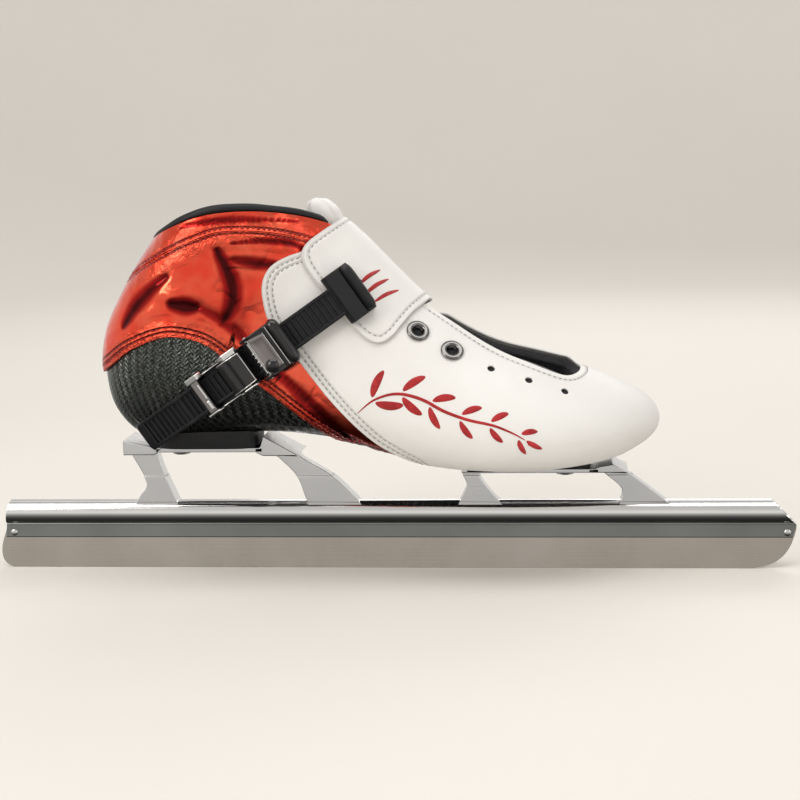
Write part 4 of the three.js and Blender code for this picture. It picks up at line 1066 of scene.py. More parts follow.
def cup_weave(form_points):
    """Weave coordinates: round the heel and up its sides, and flat across the sole."""
    x, y, z = form_points.T
    turn_radius = 36.0
    centre_x = np.interp(z, SECTIONS[10:16, 3], SECTIONS[10:16, 2]) + turn_radius
    wrap = np.where(x > centre_x, turn_radius * PI / 2 + x - centre_x,
                    turn_radius * np.arctan2(np.abs(y), np.maximum(centre_x - x, 1e-6)))
    sides = np.stack([np.where(y < 0, -wrap, wrap), z], axis=1)
    flat = np.stack([x + y, x - y], axis=1) * math.sqrt(0.5)

    def choose(corner, mesh):
        facing = np.zeros(len(mesh.polygons) * 3)
        mesh.polygons.foreach_get("normal", facing)
        count = np.zeros(len(mesh.polygons), int)
        mesh.polygons.foreach_get("loop_total", count)
        up = np.repeat(np.abs(facing.reshape(-1, 3)[:, 2]), count)
        tilt = np.array([[1, -1], [1, 1]]) * math.sqrt(0.5)
        return np.where((up > 0.8)[:, None], flat[corner], sides[corner] @ tilt.T)

    return choose


cup = Sheet(cup_values, (0, 0.98), SHELL_OUTER)
points, faces, _ = thicken(cup, SHELL_OUTER, SHELL_INNER, rim=0.5)
piece("carbon_heel_cup", (points, faces), CARBON, "boot", ["heel_cup_shell"], uv=cup_weave(points))

# ---------------------------------------------------------------- quarter

# Dents and creases in the foil: a line in x and z, its depth, and its half width.
CREASES = [
    ([[-101, 139.5], [-94, 138.6], [-87.5, 138]], 1.1, 3.6),
    ([[-77, 165], [-72.5, 156], [-70, 146], [-72, 136], [-76, 130]], 0.9, 4.2),
    ([[-67, 158], [-65.6, 150], [-68.5, 141]], -0.5, 2.4),
    ([[-126, 128], [-119, 138], [-111, 146], [-102, 153]], 0.7, 3.4),
    ([[-88, 138.5], [-77, 132], [-67, 124], [-58, 114]], 0.6, 3.0),
    ([[-70, 160.5], [-59, 158.4], [-47, 157]], 0.55, 2.6),
    ([[-70, 168], [-56, 169], [-43, 167.4], [-35, 163]], 0.5, 1.6),
    ([[-92, 128], [-101, 127.5], [-112, 124.5]], -0.4, 2.6),
    ([[-56, 112], [-40, 96], [-22, 78], [-8, 67]], 0.7, 3.2),
    ([[-48, 96], [-34, 84], [-18, 72]], -0.5, 3.0),
    ([[-95, 176], [-80, 178.6], [-62, 179.4], [-40, 177.6]], 0.45, 1.8),
]


def crease_reach(line, width, points):
    """How strongly a crease shows, from 0 to 1: widest at its middle, tapering to its ends."""
    path = smooth(line, 9)
    reach = np.zeros(len(points))
    for (x, z), share in zip(path, np.linspace(0, 1, len(path))):
        size = width * (0.35 + 0.65 * math.sin(PI * share) ** 0.8)
        reach = np.maximum(reach, np.exp(-((points[:, 0] - x) ** 2 + (points[:, 2] - z) ** 2) / size**2))
    return reach


def foil_relief(points, cup_distance, band_distance):
    """How far the foil stands proud of its even skin: puffed between its seams, pressed at creases."""
    x, z = points[:, 0], points[:, 2]
    relief = 0.35 * step(0, 6, cup_distance) + 0.3 * step(0, 5, np.abs(band_distance)) - 0.35
    for line, depth, width in CREASES:
        relief -= depth * crease_reach(line, 1.15 * width, points)
    pucker = np.exp(-((np.abs(cup_distance) - 3.3) / 3.2) ** 2) + 0.7 * np.exp(-((band_distance / 3.0) ** 2))
    relief += 0.12 * pucker * np.sin(1.5 * x + 0.6 * np.sin(0.8 * x) + 0.5 * points[:, 1])
    relief += 0.16 * np.sin(0.19 * x + 1.1) * np.sin(0.23 * z + 0.4) * step(4, 12, cup_distance)
    return np.clip(relief, -1.1, 0.2)


def foil_painted_dark_reflection(points):
    """Where dark reflections and shade are painted on the foil, from 0 to 1: in its deeper creases and
    towards its lower front.
    """
    x, z = points[:, 0], points[:, 2]
    painted_dark_reflection = np.zeros(len(points))
    for line, depth, width in CREASES:
        if depth > 0:
            painted_dark_reflection = np.maximum(painted_dark_reflection, min(1.0, 0.5 + 0.5 * depth) * crease_reach(line, 1.3 * width, points))
    # The quarter's lower front is painted darker as well, as painted shade.
    painted_shade_tail = step(-62, -30, x) * (1 - step(84, 112, z))
    return np.maximum(painted_dark_reflection, 0.3 * painted_shade_tail) * step(0.5, 3.5, np.abs(points[:, 1]))


def quarter_values(points, s):
    x, z = points[:, 0], points[:, 2]
    return [inside(quarter_area, x, z), -above_collar(points), throat_value(points, 2), sole_value(points)]


quarter = Sheet(quarter_values, (0.2, 0.99))
base_points = quarter.at()
cup_distance = inside(quarter_area, base_points[:, 0], base_points[:, 2])
band_distance = -above_collar(base_points, band_area)
relief = foil_relief(base_points, cup_distance, band_distance)
# The foil's painted dark reflections and shade.
painted_dark_reflection = foil_painted_dark_reflection(base_points)
points, faces, source = thicken(quarter, -relief, np.full(len(relief), QUARTER_INNER), rim=0.3)
piece(
    "quarter_foil_leather", (points, faces), RED_FOIL, "boot", ["quarter"],
    values={"cup": cup_distance[source], "band": band_distance[source], "painted_dark_reflection": painted_dark_reflection[source]},
)
# A raised folded edge runs along the collar band's seam.
welt = Solid()
for path in quarter.line(band_distance, 0.0):
    ridge = resample(skin(path[:, 0], path[:, 1], -0.05), 1.2)
    welt.add(tube_along(ridge, 0.42, 8))
piece("collar_band_welt", welt, RED_FOIL, "boot",
      values={"cup": no_seam(welt.points), "band": no_seam(welt.points),
              "painted_dark_reflection": np.zeros(len(welt.points))})
stitching(
    "quarter_stitching", quarter,
    [(cup_distance, 2.2), (cup_distance, 4.4), (band_distance, 1.6), (band_distance, -1.4)],
    0.1, RED_THREAD, keep=lambda p: p[:, 2] > 70, pitch=2.6, length=2.1, radius=0.33,
)

# ---------------------------------------------------------------- vamp


def vamp_values(points, s):
    x, z = points[:, 0], points[:, 2]
    return [
        inside(vamp_area, x, z), -above_collar(points), throat_value(points, 0), sole_value(points),
        lace_value(points, lambda row: EYELET["barrel"] if row < EYELET_ROWS else LACE_HOLE_RADIUS),
    ]


vamp = Sheet(vamp_values, (0, 0.95), VAMP_OUTER)
base_points = vamp.at(VAMP_OUTER)
vamp_edge = inside(vamp_area, base_points[:, 0], base_points[:, 2])
vamp_throat = throat_value(base_points, 0)
vamp_relief = 0.12 * step(0, 7, vamp_edge) * step(0, 6, vamp_throat) - 0.12
vamp_relief += 0.1 * np.sin(0.11 * base_points[:, 0] + 0.6) * np.sin(0.13 * base_points[:, 2])
vamp_lift = flap_lift(base_points, vamp_throat)
points, faces, source = thicken(vamp, VAMP_OUTER - vamp_relief - vamp_lift, VAMP_INNER - vamp_lift, rim=0.35)
piece(
    "vamp_leather", (points, faces), VAMP_LEATHER, "boot", ["vamp"],
    values={"edge": vamp_edge[source], "throat": vamp_throat[source]},
)
stitching(
    "vamp_stitching", vamp, [(vamp_edge, 2.2), (vamp_edge, 4.6)], VAMP_OUTER + 0.1, SHADED_WHITE_THREAD,
    keep=lambda p: p[:, 2] < 162, pitch=2.7, length=2.0, radius=0.3,
)
stitching(
    "throat_stitching", vamp, [(vamp_throat, 3.0)], lambda p: VAMP_OUTER + 0.1 - flap_lift(p, 3.0),
    SHADED_WHITE_THREAD,
    keep=lambda p: (p[:, 0] > 20), pitch=2.7, length=2.0, radius=0.26,
)

# A branch with pairs of pointed leaves, embroidered in satin stitch.
BRANCH = [[-11, 86], [-3, 92.5], [8, 95.5], [20, 93], [31, 87.5], [43, 83.5], [55, 81], [66, 76.5], [76, 70]]
LEAF_PAIRS = 6


def leaf(root, direction, length, bend):
    """A leaf's middle line from its root on the branch, bending as it goes."""
    root, direction = np.asarray(root, float), np.asarray(direction, float)
    side = np.array([-direction[1], direction[0]])
    share = np.linspace(0, 1, 6)[:, None]
    return root + direction * length * share + side * bend * length * share**2


def branch_strokes():
    path = smooth(BRANCH, 12)
    strokes = [(path[:-8:4], 1.7)]
    for k in range(LEAF_PAIRS):
        place = int((0.12 + 0.76 * k / (LEAF_PAIRS - 1)) * (len(path) - 1))
        ahead = path[place + 1] - path[place - 1]
        ahead /= np.linalg.norm(ahead)
        size = 13.5 - 1.1 * k
        for sign in (-1, 1):
            turn = sign * math.radians(52)
            sine, cosine = math.sin(turn), math.cos(turn)
            aim = [ahead[0] * cosine - ahead[1] * sine, ahead[0] * sine + ahead[1] * cosine]
            start = path[place] + np.array(aim) * 1.6
            strokes.append((leaf(start, aim, size, -sign * 0.3), 4.4 - 0.3 * k))
    tip = path[-1] - path[-3]
    strokes.append((leaf(path[-9], tip / np.linalg.norm(tip), 9, 0.1), 2.8))
    return strokes


embroidery("vamp_embroidery", branch_strokes(), VAMP_OUTER - 0.05)

# ---------------------------------------------------------------- lining, collar and footbed


def lining_values(points, s):
    return [-above_collar(points, rise=1.5), throat_value(points, 0)]


lining = Sheet(lining_values, (0, 0.97), SHELL_OUTER)
base_points = lining.at()
behind_quarter = inside(quarter_area, base_points[:, 0], base_points[:, 2])
behind_cup = inside(shell_area, base_points[:, 0], base_points[:, 2])
lining_outer = 0.2 + 1.6 * step(-4, -0.5, behind_quarter)
lining_outer = np.maximum(lining_outer, 0.2 + 3.4 * step(-3, -0.5, behind_cup))
edge_puff = np.minimum(throat_value(lining.at(LINER_INNER), 0), -above_collar(base_points))
lining_inner = LINER_INNER - 1.4 * np.exp(-((edge_puff / 3.5) ** 2))
lining_lift = flap_lift(base_points, throat_value(base_points, 0))
points, faces, _ = thicken(lining, lining_outer - lining_lift, lining_inner - lining_lift, rim=0.8)
lining_piece = piece("boot_lining", (points, faces), LINING, "boot", ["liner"])
throat_roll = Solid()
throat_distance = throat_value(lining.at(SHELL_OUTER), 0)
for path in lining.line(throat_distance, 0.7):
    lift = flap_lift(skin(path[:, 0], path[:, 1]), 0.7)
    roll = resample(skin(path[:, 0], path[:, 1], 1.3 - lift), 1.5)
    throat_roll.add(tube_along(roll[(roll[:, 0] > -30)], 1.0, 10))
piece("throat_binding", throat_roll, BINDING, "boot", values={"edge": no_seam(throat_roll.points)})

# The collar's padded roll, as a section carried round the top edge: outward and upward from the edge.
COLLAR_SECTION = [
    [-1.7, -5.5], [-1.65, -2], [-1.5, -0.2], [-0.5, 0.1], [-0.05, 0.7], [0.1, 1.5], [-0.1, 2.5], [-0.8, 3.35],
    [-2.0, 3.8], [-3.6, 3.7], [-5.0, 3.0], [-6.1, 1.8], [-6.7, 0.0], [-7.0, -2.5], [-6.7, -6], [-6.1, -9.5],
    [-5.2, -11], [-4.6, -9], [-4.2, -6],
]
# The column of the smoothed section at which the roll is stitched to the lining.
COLLAR_SEAM_COLUMN = 42


def collar_stations():
    """Where the collar's edge crosses the skin, round the heel from the outer side to the inner side."""
    angle = np.linspace(-0.93 * PI, 0.93 * PI, 150)
    s = np.linspace(0.6, 1.0, 260)
    grid_s, grid_a = np.meshgrid(s, angle, indexing="ij")
    points = skin(grid_s, grid_a, 1.0)
    above = above_collar(points)
    first = np.argmax(above > 0, axis=0)
    column = np.arange(len(angle))
    low, high = above[first - 1, column], above[first, column]
    crossing = s[first - 1] + (s[first] - s[first - 1]) * -low / (high - low)
    edge = skin(crossing, angle, 0.0)
    clear = throat_value(edge, 1.2) > 0
    return crossing[clear], angle[clear]


def collar_roll():
    s, angle = collar_stations()
    edge = skin(s, angle, 0.0)
    normal = skin_normal(s, angle)
    up = np.cross(normal, unit(np.gradient(edge, axis=0)))
    up = unit(up * np.sign(up[:, 2:]))
    section = smooth(COLLAR_SECTION + COLLAR_SECTION[:1], 3)[:-1]
    length = travelled(edge)
    from_end = np.minimum(length, length[-1] - length)
    taper = 0.35 + 0.65 * np.sqrt(np.clip(from_end / 6, 0, 1))
    wobble = 1 + 0.02 * np.sin(length * 0.13) + 0.012 * np.sin(length * 0.31 + 1)
    middle = section.mean(axis=0)
    shape = middle + (section[None] - middle) * (taper * wobble)[:, None, None]
    points = edge[:, None] + normal[:, None] * shape[..., :1] + up[:, None] * shape[..., 1:]
    rows, columns = shape.shape[:2]
    faces = grid_faces(rows, columns) + end_faces(rows, columns)
    seam = np.tile(np.abs(np.arange(columns) - COLLAR_SEAM_COLUMN), rows)
    return (points.reshape(-1, 3), faces), seam


collar_form, collar_seam = collar_roll()
collar_piece = piece("collar_padding", collar_form, BINDING, "boot", ["collar_binding"],
                     values={"edge": collar_seam})


FOOTBED_THICKNESS, FOOTBED_RISE = 2.6, 8.6


def footbed():
    s = np.linspace(0.07, 0.665, 120)
    station = sections_at(s)
    nx, nz = contour_normal(s, 2)
    x, z = station[:, 2] - FOOTBED_RISE * nx, station[:, 3] - FOOTBED_RISE * nz
    angles = np.linspace(0.02, 0.6 * PI, 200)
    ring = skin(s[:, None], angles[None], LINER_INNER + 0.6)
    reached = np.argmax(ring[..., 2] > z[:, None], axis=1)
    half = ring[np.arange(len(s)), reached, 1] - station[:, 5]
    half = np.maximum(half * np.sqrt(np.clip(np.minimum(s - 0.068, 0.667 - s) / 0.02, 0, 1)), 1.0)
    across = np.linspace(-1, 1, 41)
    lift = 1.6 * across**4
    top = np.stack([
        x[:, None] + 0 * across, station[:, 5:6] + half[:, None] * across, z[:, None] + lift[None] - 0.6,
    ], axis=-1)
    return slab(top, top - [0, 0, FOOTBED_THICKNESS])


footbed_piece = piece("footbed", footbed(), FOOTBED, "boot", ["insole"], angle=50)

# ---------------------------------------------------------------- tongue

TONGUE_OUTER, TONGUE_INNER = 6.5, 9.9
tongue_plan = region(
    smooth([[94, -13], [78, -24], [44, -20], [0, -17], [-30, -14]]),
    [[-30, 11], [0, 14], [44, 17], [78, 21], [94, 10]],
)
tongue_side = np.array([[-24, 150], [-30, 182], [0, 230], [140, 230], [140, 60], [40, 96], [-10, 142]], float)


def tongue_values(points, s):
    plan = inside(tongue_plan, points[:, 0], points[:, 1])
    side = inside(tongue_side, points[:, 0], points[:, 2])
    return [np.where(points[:, 2] > 80, plan, -FAR_VALUE), side]


tongue_sheet = Sheet(tongue_values, (0.1, 0.75), TONGUE_OUTER)
base_points = tongue_sheet.at(TONGUE_OUTER)
tongue_edge = inside(tongue_plan, base_points[:, 0], base_points[:, 1])
puff = 1.2 * np.exp(-((tongue_edge / 2.4) ** 2)) + 0.5 * np.exp(-(((tongue_edge - 6) / 0.8) ** 2))
points, faces, _ = thicken(tongue_sheet, TONGUE_OUTER + puff, TONGUE_INNER - 0.5 * puff, rim=0.9)
tongue_piece = piece(
    "tongue_padding", (points, faces), BINDING, "boot", values={"edge": no_seam(points)},
)

# The tongue's head: a padded cushion that leans back over the collar, from its root to its crown.
HEAD_FRONT = [
    [-14.5, 158.5], [-15.2, 166], [-18.2, 173], [-20.8, 178.5], [-23.4, 183.2], [-28.2, 186.9],
    [-32.6, 187.6],
]
HEAD_BACK = [
    [-24.5, 157], [-30.2, 164.5], [-35.6, 172], [-37.9, 178], [-38.6, 182.2], [-37.6, 186], [-34.4, 187.7],
]
HEAD_Y = {"low": -5.2, "high": 12.8}


def tongue_head():
    front, back = smooth(HEAD_FRONT, 10), smooth(HEAD_BACK, 10)
    levels = len(front)
    share = np.linspace(0, 1, levels)
    centre_y = (HEAD_Y["low"] + HEAD_Y["high"]) / 2
    half_y = (HEAD_Y["high"] - HEAD_Y["low"]) / 2
    sides = 64
    turn = np.linspace(0, 2 * PI, sides, endpoint=False)
    along = signed_power(np.cos(turn), 0.78)
    wide = signed_power(np.sin(turn), 0.62)
    crown = np.clip(1 - ((share - 0.55) / 0.47).clip(0, 1) ** 2.6, 0.0, 1) ** 0.5
    root = 0.82 + 0.18 * step(0, 0.35, share)
    points = []
    seams = []
    for k in range(levels):
        middle, reach = (front[k] + back[k]) / 2, (front[k] - back[k]) / 2
        pinch = 1 - 0.07 * np.exp(-(((np.abs(wide) - 0.83) / 0.09) ** 2)) * step(0.05, 0.3, share[k])
        x = middle[0] + reach[0] * along * pinch
        z = middle[1] + reach[1] * along * pinch
        y = centre_y + half_y * max(crown[k], 0.05) * root[k] * wide
        points.append(np.stack([x, y, z], axis=1))
        seams.append(np.minimum(np.abs(np.abs(wide) - 0.8) * half_y + 3.0, 30))
    points = np.vstack(points)
    return (points, grid_faces(levels, sides) + end_faces(levels, sides)), np.concatenate(seams)


head_form, head_seam = tongue_head()
head_piece = piece("tongue_head_pad", head_form, PAD_LEATHER, "boot", ["tongue"], values={"edge": head_seam})

# ---------------------------------------------------------------- ankle strap


def strap_values(points, s):
    x, z = points[:, 0], points[:, 2]
    outer_side = inside(strap_free, x, z)
    inner_side = inside(strap_sewn, x, z)
    return [np.where(points[:, 1] < 0, outer_side, inner_side), np.where(s > 0.3, NO_SEAM, -NO_SEAM)]


strap = Sheet(strap_values, (0.3, 0.9), STRAP_OUTER)
base_points = strap.at(STRAP_OUTER)
strap_edge = strap_values(base_points, strap.s)[0]
strap_relief = 0.35 * step(0, 4.5, strap_edge) - 0.35
strap_outer = STRAP_OUTER - strap_relief
points, faces, source = thicken(strap, strap_outer, np.full(len(strap_relief), STRAP_INNER), rim=0.55)
strap_piece = piece(
    "ankle_strap_leather", (points, faces), STRAP_LEATHER, None, ["ankle_strap"],
    values={"edge": strap_edge[source]},
)
strap_sewing = stitching(
    "ankle_strap_stitching", strap, [(strap_edge, 2.5)], STRAP_OUTER + 0.32, SHADED_WHITE_THREAD, body=None,
    pitch=2.9, length=2.1, radius=0.3,
)
STRAP_MOTIF = [
    ([[-10.5, 146.5], [-6, 150.5], [-0.5, 153]], 2.4),
    ([[-8, 141.5], [-2.5, 146], [3.5, 148.5]], 2.4),
    ([[-3.5, 138], [2.5, 141.5], [8.5, 143]], 2.2),
]
strap_motif = embroidery("ankle_strap_embroidery", STRAP_MOTIF, STRAP_OUTER + 0.05, body=None)
for soft in (strap_piece, strap_sewing, strap_motif):
    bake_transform(soft)

# ---------------------------------------------------------------- eyelets

EYELET_PROFILE = [
    [2.2, -4.8], [3.65, -5.0], [3.65, -0.1], [5.4, -0.1], [5.6, 0.1], [5.62, 0.35], [5.4, 0.72],
    [4.9, 0.98], [4.2, 1.08], [3.5, 1.0], [3.0, 0.72], [2.75, 0.3], [2.6, -0.3], [2.25, -0.7],
]
for row, side, s, angle in lace_holes:
    if row < EYELET_ROWS:
        place = {"s": np.array(s), "angle": np.array(angle), "depth": VAMP_OUTER}
        normal, centre = skin_normal(**place), skin(**place)
        lift = flap_lift(centre, throat_value(centre[None], 0)[0])
        upright = upright_to(normal, centre + normal * (EYELET["seat"] + lift))
        turned = moved(lathe(EYELET_PROFILE, 64, closed=True), upright)
        label = f"eyelet_{'inner' if side < 0 else 'outer'}_{row + 1}"
        piece(f"{label}_ring", turned, GUNMETAL, "boot", [label], angle=40)

# ---------------------------------------------------------------- mounting blocks, bolts, washers and inserts

GAP = 0.3
WASHER_THICKNESS, BOLT_HEAD_HEIGHT, INSERT_HEIGHT = 0.7, 1.6, 3.6
THREADS = 14
HEEL = {
    "end": "heel", "bolt": -105.7, "plate": (62.4, 64.6), "block": (-115.2, -64.6, 19.0), "top": 74.0,
}
TOE = {
    "end": "toe", "bolt": 88.7, "plate": (51.4, 53.4), "block": (54.4, 101.5, 17.0), "top": 62.0,
}


def sole_height(x, y):
    """Height of the cup's underside over a plan, by search along the skin."""
    s, angle = np.meshgrid(np.linspace(0.1, 0.75, 420), np.linspace(-0.48, 0.48, 161) * PI, indexing="ij")
    points = skin(s, angle, SHELL_OUTER).reshape(-1, 3)
    height = np.empty(x.shape)
    for index in np.ndindex(x.shape):
        gap = (points[:, 0] - x[index]) ** 2 + (points[:, 1] - y[index]) ** 2
        near = np.argpartition(gap, 4)[:4]
        weight = 1 / (gap[near] + 1e-3)
        height[index] = (points[near, 2] * weight).sum() / weight.sum()
    return height


def mount_block(end):
    """A moulded block that fills the room between the stand's plate and the sole."""
    rear, front, half = end["block"]
    bottom = end["plate"][1] + GAP
    rings, sides = 12, 96
    turn = np.arange(sides) / sides * 2 * PI
    centre, reach = (rear + front) / 2, (front - rear) / 2
    corner = 0.36
    shape_x, shape_y = signed_power(np.cos(turn), corner), signed_power(np.sin(turn), corner)
    share = np.linspace(0, 1, rings)
    x = centre + reach * shape_x * share[:, None]
    y = half * shape_y * share[:, None]
    top = np.minimum(sole_height(x, y) - GAP, end["top"])
    levels = []
    for rise, inset in ((0.0, 1.2), (0.25, 0.5), (0.9, 0.1)):
        shrink = 1 - inset / reach
        levels.append(np.stack([centre + (x[-1] - centre) * shrink, y[-1] * (1 - inset / half),
                                np.full(sides, bottom + rise)], axis=1))
    levels.append(np.stack([x[-1], y[-1], bottom + 0.5 * (top[-1] - bottom)], axis=1))
    levels.append(np.stack([x[-1], y[-1], top[-1] - 0.4], axis=1))
    for ring in range(rings - 1, -1, -1):
        levels.append(np.stack([x[ring], y[ring], top[ring]], axis=1))
    points = np.vstack(levels)
    return points, [list(range(sides))] + grid_faces(len(levels), sides)


def six_flats(form, across, low=1e-6, high=math.inf):
    """Gives six flats to the part of a turned form that stands between two radii."""
    points, faces = form
    points = points.copy()
    radius = np.hypot(points[:, 0], points[:, 1])
    turn = np.arctan2(points[:, 1], points[:, 0])
    flats = across / 2 / np.cos((turn % (PI / 3)) - PI / 6)
    chosen = (radius > low) & (radius < high)
    points[chosen, :2] *= (flats[chosen] / radius[chosen])[:, None]
    return points, faces


for end in (HEEL, TOE):
    name, at = end["end"], shifted(end["bolt"], 0, 0)
    low, high = end["plate"]
    washer_top = low - GAP
    washer_low = washer_top - WASHER_THICKNESS
    head_top = washer_low - GAP
    head_low = head_top - BOLT_HEAD_HEIGHT
    tip = high + GAP + INSERT_HEIGHT
    piece(f"{name}_block", mount_block(end), PLASTIC, "boot", [f"{name}_mount_block"], angle=35)
    washer = [
        [3.3, washer_low + 0.1], [3.4, washer_low], [6.05, washer_low], [6.2, washer_low + 0.15],
        [6.2, washer_top - 0.15], [6.05, washer_top], [3.4, washer_top], [3.3, washer_top - 0.1],
    ]
    piece(f"{name}_washer_ring", moved(lathe(washer, 64, closed=True), at), BRIGHT_STEEL, "boot",
          [f"{name}_washer"], 35)
    bolt = [
        [0, head_low + 1.45], [1.6, head_low + 1.4], [1.6, head_low + 0.15], [1.72, head_low],
        [3.6, head_low], [4.4, head_low + 0.3], [4.8, head_low + 0.9], [4.8, head_top - 0.1],
        [4.7, head_top], [3.0, head_top],
    ]
    threaded = tip - head_top - 0.8
    for turn in range(THREADS):
        height = head_top + 0.4 + threaded * turn / THREADS
        pitch = threaded / THREADS
        bolt += [[2.95, height], [2.62, height + pitch * 0.5]]
    bolt += [[2.9, tip - 0.4], [2.5, tip], [0, tip]]
    head = six_flats(lathe(bolt, 60), 3.2, high=1.8)
    piece(f"{name}_bolt_screw", moved(head, at), BRIGHT_STEEL, "boot", [f"{name}_bolt"], 35)
    insert = [
        [3.3, high + 2 * GAP], [4.85, high + 2 * GAP], [5.0, high + 2 * GAP + 0.15], [5.0, tip - 0.15],
        [4.85, tip], [3.3, tip],
    ]
    piece(f"{name}_threaded_insert", moved(lathe(insert, 48, closed=True), at), BRIGHT_STEEL, "boot",
          [f"{name}_insert"], 35)

# ---------------------------------------------------------------- runner and tube

TUBE = {"radius": 6.25, "bore": 5.25, "centre": 29.35, "jaw_low": 15.9, "jaw_half": 1.9, "slot_half": 0.9,
        "slot_top": 22.9}


def bezier(p0, p1, p2, p3, steps=16):
    t = np.linspace(0, 1, steps)[:, None]
    p0, p1, p2, p3 = (np.asarray(p, float) for p in (p0, p1, p2, p3))
    return (1 - t) ** 3 * p0 + 3 * (1 - t) ** 2 * t * p1 + 3 * (1 - t) * t**2 * p2 + t**3 * p3


RUNNER_TOP = 22.6
runner_outline = np.vstack([
    [[-195.7, 0]],
    np.stack([np.linspace(-190, 175, 40), np.zeros(40)], axis=1),
    bezier([178.3, 0], [192.3, 0.2], [200.3, 5], [203.3, RUNNER_TOP - 2], 24),
    [[202.9, RUNNER_TOP], [-198.6, RUNNER_TOP], [-201.4, 14.1]],
    bezier([-201.4, 14.1], [-203.2, 8.2], [-203.1, 1.2], [-195.7, 0], 14)[1:-1],
])
RIVETS = {"rear": -194.9, "front": 198.7}
RIVET_Z = 18.7
rivet_holes = [circle(x, RIVET_Z, 1.3, 24) for x in RIVETS.values()]
piece("runner_blade", side_plate(runner_outline, -0.6, 0.6, 0.1, rivet_holes, 1), RUNNER_STEEL, "blade_unit",
      ["runner"], 30)


def tube_section():
    """The tube's outer outline over y and z, from one jaw over the top to the other, and its bore."""
    start = math.asin(TUBE["jaw_half"] / TUBE["radius"])
    turn = np.linspace(start - PI / 2, 1.5 * PI - start, 96)
    ring = np.stack([TUBE["radius"] * np.cos(turn), TUBE["centre"] + TUBE["radius"] * np.sin(turn)], axis=1)
    low, half, slot = TUBE["jaw_low"], TUBE["jaw_half"], TUBE["slot_half"]
    foot = ring[0]
    lip = [[slot, TUBE["slot_top"]], [slot, low + 0.15], [slot + 0.15, low], [half - 0.35, low + 0.15],
           [half, low + 0.6]]
    lip += [[half, foot[1] - 0.9], [half + 0.12, foot[1] - 0.35]]
    other = [[-y, z] for y, z in reversed(lip)]
    return np.vstack([lip, ring, other])


# Heights on the tube's slanted ends, and where the ends stand at them.
TUBE_REAR = [14, 22, 36], [-199.5, -198.8, -196.1]
TUBE_FRONT = [15.9, 22.5, 36], [201.2, 203.2, 190.2]
JAW_TOP = 23.3


def tube_end(z, front):
    return np.interp(z, *(TUBE_FRONT if front else TUBE_REAR))


BORE_MOUTH = 1.02


def blade_tube():
    """The tube's long faces; its bore widens a little at both ends."""
    outer = tube_section()
    bore = circle(0, TUBE["centre"], TUBE["bore"], 72)
    middle = np.array([0, TUBE["centre"]])
    stations = np.linspace(0, 1, 24)
    solid = Solid()
    for outline, mouth in ((outer, 1.0), (bore, BORE_MOUTH)):
        rear, front = tube_end(outline[:, 1], False), tube_end(outline[:, 1], True)
        rows = []
        for t in stations:
            widened = middle + (outline - middle) * (mouth if t in (0.0, 1.0) else 1.0)
            rows.append(np.stack([rear + (front - rear) * t, widened[:, 0], widened[:, 1]], axis=1))
        solid.add((np.vstack(rows), grid_faces(len(stations), len(outline))))
    return solid, outer, bore


def tube_caps(outer, bore):
    """The tube's two end faces, with the bore open."""
    points, faces = plate(outer, -0.5, 0.5, 0.0, [bore])
    flat = np.abs(points[:, 2] - 0.5) < 1e-6
    keep = [face for face in faces if all(flat[i] for i in face)]
    caps = Solid()
    for front in (False, True):
        placed = np.stack([tube_end(points[:, 1], front), points[:, 0], points[:, 1]], axis=1)
        caps.add((placed, keep))
    return caps


tube_body, tube_outer, tube_bore = blade_tube()
tube_ends = tube_caps(tube_outer, tube_bore)
tube_body.add((tube_ends.points, tube_ends.faces))
tube_piece = piece("runner_tube", tube_body, ALUMINIUM, "blade_unit", ["blade_tube"], angle=30)
# The jaws under the tube get a satin aluminium far darker than the tube's: painted shade under the tube's
# round body.
tube_piece.data.materials.append(JAW_ALUMINIUM_PAINTED_SHADE)
for polygon in tube_piece.data.polygons:
    if polygon.center.z < JAW_TOP * MM and abs(polygon.normal.x) < 0.5:
        polygon.material_index = 1

RIVET_PROFILE = [
    [0, -2.8], [0.7, -2.78], [1.25, -2.62], [1.7, -2.36], [1.8, -2.2], [1.0, -2.2], [1.0, 2.2], [1.8, 2.2],
    [1.7, 2.36], [1.25, 2.62], [0.7, 2.78], [0, 2.8],
]
for label, x in RIVETS.items():
    turned = moved(moved(lathe(RIVET_PROFILE, 40), TO_Y), shifted(x, 0, RIVET_Z))
    piece(f"{label}_rivet_head", turned, BRIGHT_STEEL, "blade_unit", [f"{label}_rivet"], angle=35)

# ---------------------------------------------------------------- stands

STAND = {"leg": 3.6, "foot": 4.6, "foot_top": 48.7, "plate_half": 13.0, "slot": 4.7, "slot_radius": 3.3,
         "top": 80, "saddle": 34.75, "flank": (33.35, 35.3), "flank_inner": 3.7}


def clip_band(outline, low, high):
    """The part of an outline between two heights."""
    for sign, level in ((1, low), (-1, high)):
        kept = []
        for a, b in zip(outline, np.roll(outline, -1, axis=0)):
            da, db = sign * (a[1] - level), sign * (b[1] - level)
            if da >= 0:
                kept.append(a)
            if da * db < 0:
                kept.append(a + (b - a) * da / (da - db))
        outline = np.array(kept)
    return outline


